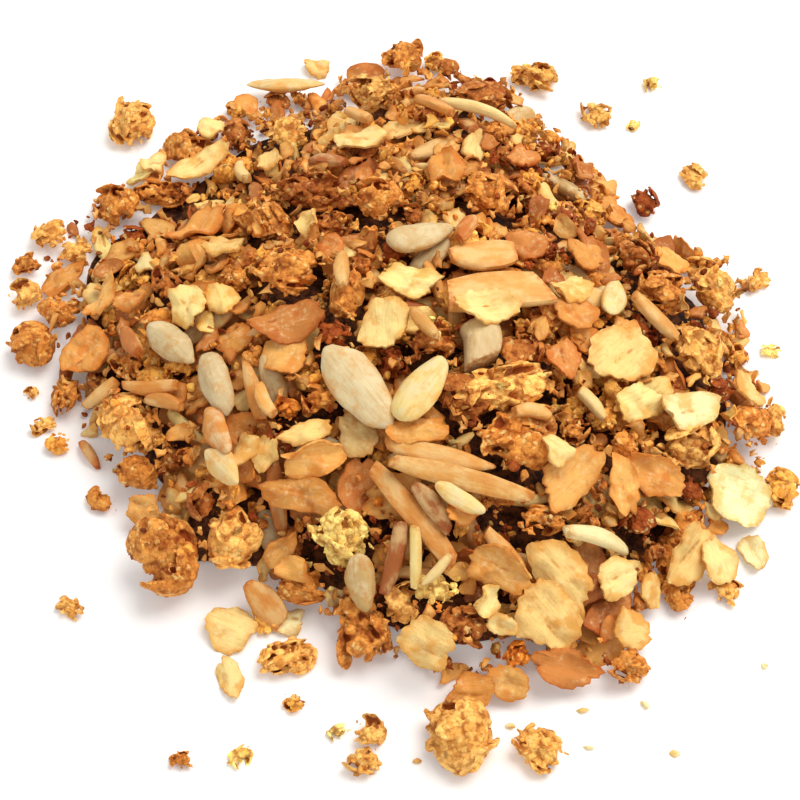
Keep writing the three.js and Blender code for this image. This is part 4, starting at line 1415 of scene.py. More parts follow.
@dataclass(frozen=True)
class AlmondFinish(Finish):
    """Cut almond: golden and smooth on its faces, brown along its edges and at its ends."""

    dulled: Triple = (0.88, 0.84, 0.84)
    warmed: Triple = (0.88, 0.66, 0.4)
    browned: Triple = (0.72, 0.38, 0.14)
    floury: Triple = linear("ECCF90")

    def colour(self, bench: Bench) -> Shade:
        """The colour over the surface."""
        tint, own = bench.ground()
        rim = bench.field("rim")
        tint = tint * self.dulled
        cloud = bench.noise(own * (0.5, 1.0, 1.0), 0.5, 4.0)
        fine = bench.noise(own, 1.8, 3.0)
        pale = bench.mix(cloud.over(0.45, 0.62) * 0.5, tint, self.floury)
        warm = bench.mix(cloud.over(0.52, 0.3) * 0.6, pale, tint * self.warmed)
        edge = rim.over(0.55, 1.0) * fine.over(0.36, 0.58)
        return bench.mix(edge * 0.75, warm, tint * self.browned)

    def height(self, bench: Bench) -> Shade:
        """The relief over the surface, from 0 to 1."""
        own = bench.field("own", "Vector")
        streak = bench.noise(own * (0.3, 1.8, 1.8), 1.2, 4.0)
        return streak * 0.6 + bench.noise(own, 3.0, 3.0) * 0.4


@dataclass(frozen=True)
class BedFinish(Finish):
    """What lies deep between the pieces: fine crumb, coloured near-black brown as painted shade of the
    depths among them.
    """

    # Both colours are painted shade: the dark of the depths between the pieces.
    dark: Triple = linear("2C1005")
    warm: Triple = linear("74401C")

    def colour(self, bench: Bench) -> Shade:
        """The colour over the surface."""
        own = bench.field("own", "Vector")
        cloud = bench.noise(own, 0.5, 4.0)
        fine = bench.noise(own, 1.6, 3.0)
        return bench.mix((cloud * 0.5 + fine * 0.5).over(0.42, 0.62), self.dark, self.warm)

    def height(self, bench: Bench) -> Shade:
        """The relief over the surface, from 0 to 1."""
        return bench.noise(bench.field("own", "Vector"), 1.1, 5.0, 0.6)


@dataclass(frozen=True)
class TableFinish(Finish):
    """The plain pale surface that the heap lies on."""

    pale: Triple = (0.94, 0.94, 0.95)

    def colour(self, bench: Bench) -> Shade:
        """The colour over the surface."""
        where = bench.add("ShaderNodeTexCoord", output="Object")
        return bench.mix(bench.noise(where, 40.0), self.pale, tuple(0.985 * c for c in self.pale))

    def height(self, bench: Bench) -> Shade:
        """The relief over the surface, from 0 to 1."""
        return bench.noise(bench.add("ShaderNodeTexCoord", output="Object"), 300.0)


# ---- laying pieces together


@dataclass(frozen=True)
class Lay:
    """Where a piece lies: how it is turned, where its middle is, and its colour."""

    turn: Array
    place: Array
    tint: Array


@dataclass
class Pile:
    """How high the pieces reach at each place, and how a further one comes to rest."""

    half: float = 66.0
    pitch: float = 0.4
    top: Array = field(init=False)
    clean: Array = field(init=False)

    def __post_init__(self) -> None:
        """Starts from the bare surface."""
        count = int(2 * self.half / self.pitch)
        self.top = np.zeros((count, count))
        self.clean = np.full((count, count), -np.inf)

    def centres(self) -> tuple[Array, Array]:
        """The places of all cells."""
        line = (np.arange(len(self.top)) + 0.5) * self.pitch - self.half
        return np.meshgrid(line, line, indexing="ij")

    def cells(self, points: Array) -> tuple[Array, Array]:
        """The cell under each point."""
        at = ((points[:, :2] + self.half) / self.pitch).astype(int)
        at = np.clip(at, 2, len(self.top) - 3)
        return at[:, 0], at[:, 1]

    def print_of(self, points: Array, highest: bool) -> tuple[tuple[slice, slice], Array]:
        """The lowest or highest points of a body in the cells that it covers.

        Args:
            points: the body's points.
            highest: whether the highest are wanted.

        Returns:
            The window of cells, and the heights in it, without end where the body isn't.
        """
        i, j = self.cells(points)
        window = (slice(i.min() - 1, i.max() + 2), slice(j.min() - 1, j.max() + 2))
        shape = (window[0].stop - window[0].start, window[1].stop - window[1].start)
        empty, gather = (-np.inf, np.maximum) if highest else (np.inf, np.minimum)
        found = np.full(shape, empty)
        gather.at(found, (i - window[0].start, j - window[1].start), points[:, 2])
        for _ in range(3):
            padded = np.pad(found, 1, constant_values=empty)
            around = [
                padded[di : di + shape[0], dj : dj + shape[1]]
                for di in range(3)
                for dj in range(3)
                if (di, dj) != (1, 1)
            ]
            filled = np.isfinite(around).sum(0)
            hole = ~np.isfinite(found) & (filled >= 4)
            found = np.where(hole, gather.reduce(around), found)
        return window, found

    def rest(self, points: Array, hold: float) -> tuple[float, float]:
        """How far a body is lifted to rest on the pile.

        Args:
            points: its points, turned, about any height.
            hold: the share of it that may be pressed in among the others, taken from 1.

        Returns:
            The lift, and how far above the pile the body then is on average.
        """
        window, low = self.print_of(points, False)
        gaps = (self.top[window] - low)[np.isfinite(low)]
        lift = float(np.quantile(gaps, hold))
        return lift, float(np.maximum(lift - gaps, 0).mean())

    def facing(self, points: Array, steepest: float = 0.9) -> Array:
        """Which way the pile faces under a body.

        Args:
            points: the body's points.
            steepest: the steepest slope that is given.

        Returns:
            The pile's normal there.
        """
        window, low = self.print_of(points, False)
        i, j = np.nonzero(np.isfinite(low))
        high = self.top[window][i, j]
        if len(high) < 6:
            return np.array([0.0, 0.0, 1.0])
        flat = np.column_stack([i * self.pitch, j * self.pitch, np.ones(len(i))])
        slope = np.linalg.lstsq(flat, high, rcond=None)[0]
        lean = np.clip(slope[:2], -steepest, steepest)
        return unit(np.array([-lean[0], -lean[1], 1.0]))

    def cover(self, points: Array, clean: bool = False) -> None:
        """Adds a body's upper side to the pile.

        Args:
            points: the body's points.
            clean: whether it stays clean, so that no crumbs fall on it.
        """
        window, high = self.print_of(points, True)
        self.top[window] = np.maximum(self.top[window], high)
        if clean:
            self.clean[window] = np.maximum(self.clean[window], high)

    def stays_clean(self, points: Array) -> bool:
        """Whether a body would lie, if only by its edge, on one that stays clean."""
        return bool(np.isfinite(self.clean[self.cells(points)]).any())

    def pierces(self, points: Array, slack: float = 0.08) -> bool:
        """Whether a body comes up through one that stays clean.

        Args:
            points: the body's points.
            slack: how far a body may reach in.

        Returns:
            Whether it does.
        """
        i, j = self.cells(points)
        level = self.clean[i, j]
        under = np.isfinite(level)
        above = under & (points[:, 2] > level - slack)
        below = under & (points[:, 2] < level - slack)
        return bool(above.any() and below.any())


# The angle in degrees past which an edge is shown sharp, on baked crumb and on all else.
CRUMBLY = 34.0
SMOOTH = 48.0


@dataclass
class Batch:
    """Many bodies of one kind, kept to be joined into one piece."""

    name: str
    slot: str
    finish: Finish
    sharp: float = SMOOTH
    bodies: list[Body] = field(default_factory=list)
    lays: list[Lay] = field(default_factory=list)

    def put(self, body: Body, lay: Lay) -> None:
        """Keeps a body and where it lies."""
        self.bodies.append(body)
        self.lays.append(lay)

    def join(self, nodes: list[str], rng: Stream) -> bpy.types.Object:
        """Joins the bodies to one mesh, dresses it and sets it in place of the nodes.

        Args:
            nodes: the solids that the piece stands for.
            rng: the stream that sets each body's grain apart from the others'.

        Returns:
            The piece.
        """
        columns = math.ceil(math.sqrt(len(self.bodies)))
        points, faces, chart, own, tint = [], [], [], [], []
        first = 0
        for number, (body, lay) in enumerate(zip(self.bodies, self.lays)):
            placed = body.points @ lay.turn.T + lay.place
            placed[:, 2] = np.maximum(placed[:, 2], 0.02)
            points.append(placed)
            faces.append(body.faces + first)
            cell = np.array([number % columns, number // columns])
            chart.append((body.chart * 0.97 + 0.015 + cell) / columns)
            own.append(body.points + rng.uniform(0, 900, 3))
            tint.append(np.tile([*lay.tint, 1.0], (len(placed), 1)))
            first += len(placed)
        mesh = bpy.data.meshes.new(self.name)
        all_faces = np.vstack(faces)
        self._fill(mesh, np.vstack(points) * MM, all_faces)
        layer = mesh.uv_layers.new(name=BAKE_MAP)
        layer.data.foreach_set("uv", np.concatenate(chart).astype(np.float32).ravel())
        marks = ("rim", "hollow", "patch")
        kept = [(name, "FLOAT", "value", [getattr(b, name) for b in self.bodies]) for name in marks]
        kept += [("own", "FLOAT_VECTOR", "vector", own), ("tint", "FLOAT_COLOR", "color", tint)]
        for name, kind, part, values in kept:
            data = mesh.attributes.new(name, kind, "POINT").data
            data.foreach_set(part, np.concatenate(values).astype(np.float32).ravel())
        mesh.shade_smooth()
        mesh.set_sharp_from_angle(angle=math.radians(self.sharp))
        mesh.materials.append(self.finish.material())
        piece = bpy.data.objects.new(self.name, mesh)
        bpy.context.scene.collection.objects.link(piece)
        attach(piece, "root")
        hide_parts(*nodes)
        LOG.info("%s: %d bodies, %d triangles", self.name, len(self.bodies), len(all_faces))
        return piece

    @staticmethod
    def _fill(mesh: bpy.types.Mesh, points: Array, faces: Array) -> None:
        """Gives a mesh its points and triangles."""
        count = len(faces)
        mesh.vertices.add(len(points))
        mesh.vertices.foreach_set("co", points.astype(np.float32).ravel())
        mesh.loops.add(count * 3)
        mesh.loops.foreach_set("vertex_index", faces.astype(np.int32).ravel())
        mesh.polygons.add(count)
        mesh.polygons.foreach_set("loop_start", np.arange(0, count * 3, 3, dtype=np.int32))
        mesh.polygons.foreach_set("loop_total", np.full(count, 3, np.int32))
        mesh.update(calc_edges=True)
        mesh.validate()


# ---- the heap


@dataclass
class Larder:
    """The shapes that many pieces share, made once."""

    rng: Stream
    cluster_size: Triple = (8.0, 6.6, 5.2)
    nugget_size: Triple = (4.4, 3.8, 3.2)
    grit_size: Triple = (2.6, 2.1, 1.7)
    clusters: list[Body] = field(default_factory=list)
    nuggets: list[Body] = field(default_factory=list)
    grits: list[Body] = field(default_factory=list)
    crumbs: list[Body] = field(default_factory=list)

    def stock(self, clusters: int = 12, nuggets: int = 12, grits: int = 16, crumbs: int = 24) -> None:
        """Makes the shared shapes.

        Args:
            clusters: how many large lumps.
            nuggets: how many small ones.
            grits: how many bits of one.
            crumbs: how many crumbs.
        """
        for number in range(clusters):
            bits = 56 + 5 * (number % 5)
            lump = BakedCluster(*self.cluster_size, bits, 7 + number % 5, 2900, 0.17, 0.2)
            self.clusters.append(lump.build(self.rng))
        for number in range(nuggets):
            lump = BakedCluster(*self.nugget_size, 24 + number % 6, 4, 860, 0.15, 0.15, core=0.5)
            self.nuggets.append(lump.build(self.rng))
        for number in range(grits):
            bits = 10 + number % 4
            lump = BakedCluster(*self.grit_size, bits, number % 3, 250, 0.13, 0.12, core=0.45)
            self.grits.append(lump.build(self.rng))
        for _ in range(crumbs):
            self.crumbs.append(Crumb().build(self.rng))
        LOG.info("shared shapes: %d clusters, %d nuggets, %d grits", clusters, nuggets, grits)

    def cluster(self, number: int, long: float, wide: float, high: float) -> Body:
        """One of the large lumps at a size."""
        grow = np.array([long, wide, high]) / self.cluster_size
        return self.clusters[number % len(self.clusters)].scaled(grow)

    def nugget(self, number: int, long: float, wide: float, high: float) -> Body:
        """One of the small lumps at a size."""
        grow = np.array([long, wide, high]) / self.nugget_size
        return self.nuggets[number % len(self.nuggets)].scaled(grow)

    def lump(self, number: int, spot: Spot) -> Body:
        """One of the large or small lumps at the size of a spot."""
        maker = self.cluster if spot.large() else self.nugget
        return maker(number, spot.long, spot.wide, spot.high)

    def grit(self, long: float) -> Body:
        """One of the bits of a lump at a size."""
        grow = np.full(3, long / self.grit_size[0])
        return self.grits[int(self.rng.integers(len(self.grits)))].scaled(grow)

    def crumb(self, size: float) -> Body:
        """One of the crumbs at a size."""
        return self.crumbs[int(self.rng.integers(len(self.crumbs)))].scaled(np.full(3, size))


def jittered(tint: Array, rng: Stream, spread: float = 0.1) -> Array:
    """A colour a little lighter or darker, and a little warmer or cooler.

    Args:
        tint: the colour, linear.
        rng: the stream of draws.
        spread: how far it may go.

    Returns:
        The colour as drawn.
    """
    light = 1 + rng.normal() * spread
    warm = rng.normal() * spread * 0.5
    return np.clip(tint * light * np.array([1 + warm * 0.4, 1, 1 - warm]), 0.005, 0.95)


@dataclass
class Heap:
    """The heap itself: its bed, what shows in the photograph and what lies between.

    single is how much a single layer adds over the bed. A showing piece that stands open_gap
    above the pile is laid flatter and pressed in. A filling piece keeps a share of its size
    inside the foot, may stand_out by so much over the bed, and is left out if it lies too loosely.
    """

    view: PhotoView
    mound: Mound
    larder: Larder
    rng: Stream
    bed_drop: float = 4.6
    bed_reach: float = 0.84
    single: float = 1.0
    showing_lean: float = 0.2
    wobble: float = 0.32
    open_gap: float = 1.1
    press_share: float = 0.25
    deepest_press: float = 0.4
    mean_reach: float = 45.0
    kept_inside: float = 0.42
    fill_hold: float = 0.88
    stand_out: float = 1.2
    loosest: float = 3.0
    chip_share: float = 0.36
    coarse_from: float = 1.5
    pile: Pile = field(default_factory=Pile)
    batches: dict[str, Batch] = field(default_factory=dict)

    def __post_init__(self) -> None:
        """Opens a batch for each kind of piece."""
        oat = OatFinish("toasted_oat", roughness=0.56, relief=0.24)
        baked = ClusterFinish("baked_crumb", roughness=0.66, relief=0.5)
        kernel = KernelFinish("sunflower_kernel", roughness=0.5, gloss=0.28, relief=0.14)
        almond = AlmondFinish("cut_almond", roughness=0.5, gloss=0.28, relief=0.14)
        kinds = (
            # The bed's finish is painted shade: near-black brown for the depths among the pieces.
            ("bed", "granola_mix", BedFinish("deep_crumb_painted_shade", relief=0.3)),
            ("baked_clusters", "baked_cluster", baked),
            ("baked_nuggets", "baked_cluster", baked),
            ("baked_grits", "baked_cluster", baked),
            ("oat_flakes", "oat_flake", oat),
            ("oat_shards", "oat_flake", oat),
            ("sunflower_kernels", "granola_mix", kernel),
            ("almond_slivers", "granola_mix", almond),
            ("crumbs", "granola_mix", baked),
        )
        for name, slot, finish in kinds:
            self.batches[name] = Batch(name, slot, finish, CRUMBLY if finish is baked else SMOOTH)

    # -- laying

    def set_down(self, name: str, body: Body, lay: Lay, clean: bool = False) -> None:
        """Puts a body in its batch and on the pile."""
        self.batches[name].put(body, lay)
        self.pile.cover(body.points @ lay.turn.T + lay.place, clean)

    def show(self, name: str, body: Body, spot: Spot, hold: float = 0.95) -> None:
        """Lays a piece that the photograph shows over what is under its pixel.

        Args:
            name: the batch that it goes to.
            body: its mesh.
            spot: where it shows.
            hold: the share of it that isn't pressed in among the others.
        """
        wobble = np.array([*self.rng.uniform(-self.wobble, self.wobble, 2), 0.0])
        tries = [self.settled(body, spot, wobble, free, hold) for free in (1.0, 0.5, 0.0)]
        turn, at, gap = tries[0] if tries[0][2] < self.open_gap else min(tries, key=lambda one: one[2])
        press = self.press_share * max(gap - self.open_gap, 0.0)
        at = at - np.array([0, 0, min(press, self.deepest_press)])
        self.set_down(name, body, Lay(turn, at, jittered(spot.toast.tint(), self.rng, 0.05)), True)

    def settled(
        self, body: Body, spot: Spot, wobble: Array, free: float, hold: float
    ) -> tuple[Array, Array, float]:
        """Finds how a piece lies on what is under its pixel.

        Args:
            body: its mesh.
            spot: where it shows.
            wobble: how its flat side is turned by chance.
            free: the share of that, and of its lean to the heap's open side, that it keeps.
            hold: the share of it that isn't pressed in among the others.

        Returns:
            Its turn, its place, and how far it is above the pile on average.
        """
        at = self.mound.under_pixel(spot.px, spot.py, 1.6)
        lean = self.showing_lean * free * self.view.sight()
        for _ in range(3):
            slope = self.mound.normal(at[0], at[1])
            trial = body.points @ self.view.frame_of(slope, spot.turn).T + at
            normal = 0.5 * slope + 0.5 * self.pile.facing(trial) - lean + wobble * free
            turn = self.view.frame_of(unit(normal), spot.turn)
            placed = body.points @ turn.T + at
            lift, _ = self.pile.rest(placed, hold)
            at = self.view.under(spot.px, spot.py, at[2] + lift)
        placed = body.points @ turn.T + at
        lift, gap = self.pile.rest(placed, hold)
        return turn, at + np.array([0, 0, lift]), gap

    def show_cluster(self, spot: Spot, number: int) -> None:
        """Sets a lump in the bed, where the photograph has it."""
        at = self.mound.under_pixel(spot.px, spot.py, 0.3 * spot.high)
        normal = self.mound.normal(at[0], at[1]) + np.array([*self.rng.uniform(-0.2, 0.2, 2), 0.0])
        turn = self.view.frame_of(unit(normal), spot.turn)
        body = self.larder.lump(number, spot)
        name = "baked_clusters" if spot.large() else "baked_nuggets"
        low = (body.points @ turn.T + at)[:, 2].min()
        at = at + np.array([0, 0, max(0.0, 0.05 - low)])
        self.set_down(name, body, Lay(turn, at, jittered(spot.toast.tint(), self.rng, 0.05)))

    # -- the bed and what fills it

    def bed(self, spokes: int = 150, rings: int = 52) -> Body:
        """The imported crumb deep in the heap, flat underneath.

        Args:
            spokes: how many ways its points go out from the middle.
            rings: how many points each way.

        Returns:
            Its mesh.
        """
        angle = np.arange(spokes) / spokes * 2 * math.pi - math.pi
        share = (np.arange(1, rings + 1) / rings) ** 0.9 * self.bed_reach
        reach = self.mound.foot(angle)
        x = self.mound.middle[0] + np.cos(angle) * reach * share[:, None]
        y = self.mound.middle[1] + np.sin(angle) * reach * share[:, None]
        high = self.bed_height(x.ravel(), y.ravel()).reshape(x.shape)
        levels = [np.column_stack([x[k], y[k], high[k]]) for k in range(rings)]
        base = levels[-1] * np.array([1, 1, 0]) + np.array([0, 0, 0.02])
        middle = np.array([self.mound.middle[0], self.mound.middle[1], 0.02])
        crown = np.array([middle[0], middle[1], self.mound.crest - self.bed_drop])
        points, faces, _ = round_loft([base, *levels[::-1]], middle, crown)
        size = np.ptp(points[:, :2], axis=0).max() * 1.02
        chart = (points[faces][:, :, :2] - points[:, :2].min(0)) / size
        corners = points[faces]
        down = np.cross(corners[:, 1] - corners[:, 0], corners[:, 2] - corners[:, 0])[:, 2] < 0
        chart = np.where(down[:, None, None], chart * 0.12 + 0.87, chart * 0.86)
        zero = np.zeros(len(points))
        return Body(points, faces, chart, zero, zero, zero)

    def bed_height(self, x: Array, y: Array) -> Array:
        """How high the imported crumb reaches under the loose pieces."""
        grain = Unevenness(77)
        flat = np.column_stack([x, y, np.zeros(len(x))])
        rough = 0.8 * grain.at(flat, 2.6) + 0.45 * grain.at(flat, 1.2)
        deep = self.mound.height(x, y) - self.bed_drop
        skirt = 0.7 * np.clip((self.bed_reach - self.mound.out(x, y)) / 0.12, 0, 1)
        high = np.maximum(deep, skirt) + rough * np.clip(skirt, 0.15, 1)
        return np.maximum(high * self.covered(x, y), 0.03)

    def covered(self, x: Array, y: Array) -> Array:
        """0 where the bare surface shows through the heap, 1 elsewhere."""
        share = np.ones(len(x))
        for px, py, wide, deep in BARE:
            at = self.view.under(px, py, 0.0)
            scale = self.view.distance / (self.view.lens / self.view.sensor * self.view.image)
            across = wide * scale / 2
            along = deep * scale / 2 / math.sin(math.radians(self.view.elevation))
            off = np.hypot((x - at[0]) / across, (y - at[1]) / along)
            share = share * np.clip((off - 0.9) / 0.5, 0, 1)
        return share

    def lay_bed(self) -> None:
        """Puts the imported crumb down."""
        body = self.bed()
        # The bed's dark tint is painted shade, like its finish.
        self.batches["bed"].put(body, Lay(np.eye(3), np.zeros(3), np.array([0.3, 0.15, 0.06])))
        x, y = self.pile.centres()
        inside = self.mound.out(x.ravel(), y.ravel()) < self.bed_reach
        high = np.where(inside, self.bed_height(x.ravel(), y.ravel()), 0)
        self.pile.top = np.maximum(self.pile.top, high.reshape(x.shape))

    def filler(self, chance: float) -> tuple[str, Body, Array, float]:
        """Draws a piece for the places between.

        Args:
            chance: a draw from 0 to 1 that picks its kind, the larger kinds first.

        Returns:
            Its batch, its mesh, its colour and its size across.
        """
        rng = self.rng
        toasts = [CREAM, STRAW, WHEAT, GOLD, TAN, BROWN]
        pale = rng.choice(toasts, p=[0.07, 0.17, 0.24, 0.26, 0.18, 0.08])
        baked = rng.choice([*toasts[2:], RED], p=[0.08, 0.3, 0.32, 0.2, 0.1])
        if chance < 0.32:
            long = rng.uniform(4.8, 8.4)
            fold = rng.uniform(0.5, 1.5) if rng.random() < 0.3 else 0.0
            wide = long * rng.uniform(0.55, 0.85)
            curl = rng.uniform(0.1, 0.8)
            torn = int(rng.integers(1, 4))
            flake = OatFlake(long, wide, curl=curl, fold=fold, sides=28, rings=6, torn=torn)
            return "oat_flakes", flake.build(rng), pale.tint(), long
        if chance < 0.42:
            long = rng.uniform(5.2, 8.0)
            high = long * rng.uniform(0.55, 0.7)
            body = self.larder.cluster(int(rng.integers(99)), long, long * rng.uniform(0.65, 0.9), high)
            return "baked_clusters", body, baked.tint(), long
        if chance < 0.5:
            long = rng.uniform(4.5, 9.0)
            stick = AlmondSliver(long, rng.uniform(1.3, 2.4), rng.uniform(0.9, 1.4), rng.uniform(0, 0.5))
            return "almond_slivers", stick.build(rng), pale.tint(), long
        if chance < 0.52:
            long = rng.uniform(7, 9)
            toast = rng.choice([GREY, STRAW, OLIVE])
            return "sunflower_kernels", SunflowerKernel(long, long * 0.46).build(rng), toast.tint(), long
        if chance < 0.68:
            long = rng.uniform(3.0, 4.8)
            high = long * rng.uniform(0.6, 0.8)
            body = self.larder.nugget(int(rng.integers(99)), long, long * rng.uniform(0.7, 0.95), high)
            return "baked_nuggets", body, baked.tint(), long
        if chance < 0.88:
            long = rng.uniform(2.4, 4.6)
            wide = long * rng.uniform(0.45, 0.9)
            curl = rng.uniform(0, 0.3)
            rest = {"sides": 16, "rings": 3, "under_rings": 1, "ragged": 0.09, "torn": 3}
            return "oat_shards", OatFlake(long, wide, 0.5, curl, **rest).build(rng), pale.tint(), long
        long = rng.uniform(1.7, 3.0)
        return "baked_grits", self.larder.grit(long), baked.tint(), long

    def fill(self, rounds: int, short_of: float, smallest: float) -> None:
        """Drops pieces wherever the pile is still below the bed, the deepest places first.

        Args:
            rounds: how many pieces are tried.
            short_of: how far under the bed the filling stops.
            smallest: the least draw, so that later filling is of smaller kinds.
        """
        x, y = (part.ravel() for part in self.pile.centres())
        out = self.mound.out(x, y)
        packed = np.where(out < self.bed_reach, self.bed_height(x, y), 0)
        goal = np.maximum(self.mound.height(x, y) - short_of, packed + self.single)
        allowed = (out < 0.95) & (self.covered(x, y) > 0.99)
        laid = 0
        weight = np.zeros(len(x))
        for step in range(rounds):
            if step % 24 == 0:
                room = np.where(allowed, goal - self.pile.top.ravel(), 0)
                weight = np.maximum(room - 0.3, 0) ** 2
                total = weight.sum()
                if total < 4.0:
                    break
                weight = weight / total
            best = None
            name, body, tint, size = self.filler(self.rng.uniform(smallest, 1))
            for spot in self.rng.choice(len(x), 5, p=weight):
                if out[spot] > 1 - self.kept_inside * size / self.mean_reach:
                    continue
                at = np.array([x[spot], y[spot], 0.0])
                slope = self.mound.normal(at[0], at[1])
                turn = self.view.frame_of(slope, self.rng.uniform(0, 360))
                normal = 0.35 * slope + 0.65 * self.pile.facing(body.points @ turn.T + at)
                normal = unit(normal + np.array([*self.rng.uniform(-0.36, 0.36, 2), 0.0]))
                turn = self.view.frame_of(normal, self.rng.uniform(0, 360))
                placed = body.points @ turn.T + at
                lift, gap = self.pile.rest(placed, self.fill_hold)
                high = placed[:, 2].mean() + lift - goal[spot]
                score = gap + max(high, 0) * 1.5
                if high < self.stand_out and (best is None or score < best[0]):
                    best = (score, turn, at + np.array([0, 0, lift]))
            if best is not None and best[0] < self.loosest:
                self.set_down(name, body, Lay(best[1], best[2], jittered(tint, self.rng)))
                laid += 1
        LOG.info("filled with %d pieces down to %.1f mm under the bed", laid, short_of)

    def sprinkle(self, count: int, pit_depth: float, largest: float) -> None:
        """Lets crumbs fall into the pits between the pieces.

        Args:
            count: how many.
            pit_depth: how far a place lies under what is round it before a crumb stays there.
            largest: size of the largest ones.
        """
        x, y = (part.ravel() for part in self.pile.centres())
        allowed = (self.mound.out(x, y) < 0.95) & (self.covered(x, y) > 0.5)
        allowed &= ~np.isfinite(self.pile.clean.ravel())
        toasts = [BROWN, RED, TAN, GOLD, ORANGE, STRAW, DARK]
        shares = [0.24, 0.16, 0.24, 0.18, 0.06, 0.06, 0.06]
        shred = {"curl": 0.1, "sides": 10, "rings": 2, "under_rings": 1, "ragged": 0.16, "torn": 3}
        weight = np.zeros(len(x))
        for step in range(count):
            if step % 60 == 0:
                pit = (blurred(self.pile.top, 4) - self.pile.top).ravel()
                weight = np.where(allowed, np.maximum(pit - pit_depth, 0), 0)
                weight = weight / weight.sum()
            spot = self.rng.choice(len(x), p=weight)
            size = min(0.8 + self.rng.exponential(0.4), largest)
            coarse = size > self.coarse_from
            chip = self.rng.random() < self.chip_share
            if chip:
                wide = size * self.rng.uniform(0.7, 1.2)
                body = OatFlake(1.6 * size, wide, 0.4, **shred).build(self.rng)
            else:
                body = self.larder.grit(size) if coarse else self.larder.crumb(size)
            turn = turned(self.rng)
            placed = body.points @ turn.T + np.array([x[spot], y[spot], 0.0])
            if self.pile.stays_clean(placed):
                continue
            lift, _ = self.pile.rest(placed, 0.75)
            toast = self.rng.choice(toasts, p=shares)
            tint = jittered((WHEAT if chip else toast).tint(), self.rng, 0.16)
            name = "oat_shards" if chip else "baked_grits" if coarse else "crumbs"
            self.set_down(name, body, Lay(turn, np.array([x[spot], y[spot], lift]), tint))

    # -- in order

    def pour(self) -> None:
        """Builds the heap from the bed up."""
        self.lay_bed()
        for number, spot in enumerate(CLUSTERS):
            self.show_cluster(spot, number)
        self.fill(800, 1.1, 0.0)
        self.fill(700, 0.5, 0.5)
        self.sprinkle(900, -0.1, 2.6)
        self.almonds()
        self.oats(OATS)
        self.kernels()
        self.oats(TOP_OATS, len(OATS) + 1)
        self.sweep()
        self.sprinkle(640, 0.6, 1.5)

    def almonds(self) -> None:
        """Lays the almond slivers that show, the thick chunk deep among what it lies on."""
        for spot in ALMONDS:
            taper = 0.1 if spot.wide > 4.2 else 0.42
            sliver = AlmondSliver(spot.long, spot.wide, spot.high or 1.3, spot.curl, taper, stations=13)
            self.show("almond_slivers", sliver.build(self.rng), spot, 0.35 if spot.high else 0.95)

    def oats(self, spots: tuple[Spot, ...], first: int = 0) -> None:
        """Lays oat flakes that show, numbered from first, which tells how torn each is."""
        for number, spot in enumerate(spots, first):
            curl = 0.4 + spot.curl
            torn = 1 + number % 3
            form = {"curl": curl, "fold": spot.fold, "sides": 36, "rings": 8, "torn": torn}
            self.show("oat_flakes", OatFlake(spot.long, spot.wide, **form).build(self.rng), spot)

    def kernels(self) -> None:
        """Lays the sunflower kernels that show."""
        for spot in KERNELS:
            kernel = SunflowerKernel(spot.long, spot.wide, sides=22, stations=16)
            self.show("sunflower_kernels", kernel.build(self.rng), spot)

    def sweep(self) -> None:
        """Takes away the small bits that would come up through the pieces laid over them."""
        for name in ("crumbs", "baked_grits", "oat_shards"):
            batch = self.batches[name]
            pairs = list(zip(batch.bodies, batch.lays))
            batch.bodies = []
            batch.lays = []
            for body, lay in pairs:
                if not self.pile.pierces(body.points @ lay.turn.T + lay.place):
                    batch.put(body, lay)
            LOG.info("%s: %d taken away", name, len(pairs) - len(batch.bodies))

    def dress(self) -> None:
        """Joins each kind to its piece."""
        for batch in self.batches.values():
            batch.join([HEAP_NODE], self.rng)


def blurred(values: Array, reach: int) -> Array:
    """Each cell as the mean of the square round it.

    Args:
        values: the cells.
        reach: how many cells the square goes out each way.

    Returns:
        The blurred cells.
    """
    padded = np.pad(values, reach + 1, mode="edge").cumsum(0).cumsum(1)
    size = 2 * reach + 1
    part = padded[size:, size:] - padded[:-size, size:] - padded[size:, :-size] + padded[:-size, :-size]
    return part[: values.shape[0], : values.shape[1]] / size**2


@dataclass
class Strays:
    """What rolled clear of the heap, each in its own place on the surface."""

    view: PhotoView
    larder: Larder
    rng: Stream
    baked: ClusterFinish = ClusterFinish("stray_baked_crumb", roughness=0.66, relief=0.5)
    oat: OatFinish = OatFinish("stray_oat", roughness=0.56, relief=0.24)

    def place(self, batch: Batch, body: Body, spot: Spot, height: float) -> None:
        """Puts a body flat on the surface under its pixel."""
        turn = self.view.frame_of(np.array([0.0, 0.0, 1.0]), spot.turn)
        at = self.view.under(spot.px, spot.py, height / 2)
        low = (body.points @ turn.T)[:, 2].min()
        at = np.array([at[0], at[1], -low - 0.08 * height])
        batch.put(body, Lay(turn, at, jittered(spot.toast.tint(), self.rng, 0.05)))

    def scatter(self) -> None:
        """Builds and dresses all of them."""
        lumps = Batch("loose_clusters", "baked_cluster", self.baked, CRUMBLY)
        for number, spot in enumerate(LOOSE_CLUSTERS.values()):
            self.place(lumps, self.larder.lump(number + 3, spot), spot, spot.high)
        lumps.join(list(LOOSE_CLUSTERS), self.rng)
        flakes = Batch("loose_flakes", "oat_flake", self.oat)
        for spot in LOOSE_FLAKES.values():
            body = OatFlake(spot.long, spot.wide, 0.6, curl=0.2, sides=36, rings=8).build(self.rng)
            self.place(flakes, body, spot, 1.0)
        for spot in STRAYS:
            speck = self.larder.crumb(1.0).scaled(np.array([spot.long, spot.wide, spot.wide]))
            self.place(flakes, speck, spot, spot.wide * 0.6)
        flakes.join(list(LOOSE_FLAKES), self.rng)


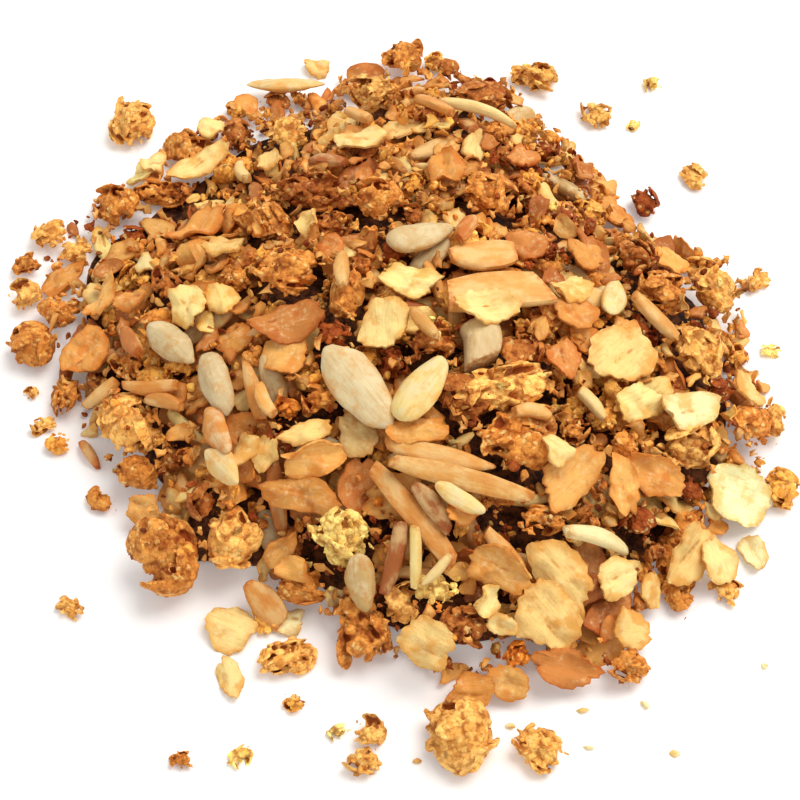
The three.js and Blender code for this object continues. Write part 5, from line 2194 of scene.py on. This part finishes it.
@dataclass
class Studio:
    """The pale surface, the soft light and the camera."""

    view: PhotoView
    floor_size: float = 3.0
    sky: float = 0.72
    key_power: float = 3.1
    key_size: float = 0.42
    key_place: Triple = (0.24, 0.15, 0.55)

    def floor(self) -> None:
        """Lays the surface."""
        half = self.floor_size / 2
        mesh = bpy.data.meshes.new("table")
        corners = [(-half, -half, 0), (half, -half, 0), (half, half, 0), (-half, half, 0)]
        mesh.from_pydata(corners, [], [(0, 1, 2, 3)])
        # Painted light: the table glows faintly, so that the shadows cast on it are lighter.
        finish = TableFinish("table", roughness=0.7, gloss=0.2, relief=0.01, glow=0.09)
        mesh.materials.append(finish.material())
        table = bpy.data.objects.new("table", mesh)
        bpy.context.scene.collection.objects.link(table)

    def light(self) -> None:
        """Sets the soft light, brightest from the right and behind."""
        scene = bpy.context.scene
        scene.world = bpy.data.worlds.new("studio")
        scene.world.use_nodes = True
        back = scene.world.node_tree.nodes["Background"]
        back.inputs["Color"].default_value = (1.0, 0.985, 0.96, 1.0)
        back.inputs["Strength"].default_value = self.sky
        lamp = bpy.data.lights.new("key", "AREA")
        lamp.size = self.key_size
        lamp.energy = self.key_power
        lamp.color = (1.0, 0.97, 0.92)
        key = bpy.data.objects.new("key", lamp)
        key.location = self.key_place
        aim = Vector((0.0, 0.0, 0.0)) - key.location
        key.rotation_euler = aim.to_track_quat("-Z", "Y").to_euler()
        scene.collection.objects.link(key)

    def camera(self) -> None:
        """Sets the camera at the photograph's own view."""
        data = bpy.data.cameras.new("camera")
        data.lens = self.view.lens
        data.sensor_width = self.view.sensor
        data.clip_start = 0.005
        data.clip_end = 10.0
        camera = bpy.data.objects.new("camera", data)
        sight = Vector(self.view.sight())
        rotation = sight.to_track_quat("-Z", "Y").to_matrix().to_4x4()
        camera.matrix_world = Matrix.Translation(Vector(self.view.eye() * MM)) @ rotation
        bpy.context.scene.collection.objects.link(camera)
        bpy.context.scene.camera = camera

    def set_up(self) -> None:
        """Builds the studio, and keeps its colours as they are."""
        self.floor()
        self.light()
        self.camera()
        bpy.context.scene.view_settings.view_transform = "Standard"


def main() -> None:
    """Builds the granola and its studio."""
    logging.basicConfig(level=logging.INFO, format="%(name)s: %(message)s")
    rng = np.random.default_rng(7)
    view = PhotoView()
    mound = Mound(view)
    larder = Larder(rng)
    larder.stock()
    heap = Heap(view, mound, larder, rng)
    heap.pour()
    heap.dress()
    Strays(view, larder, rng).scatter()
    Studio(view).set_up()


if __name__ == "__main__":
    main()
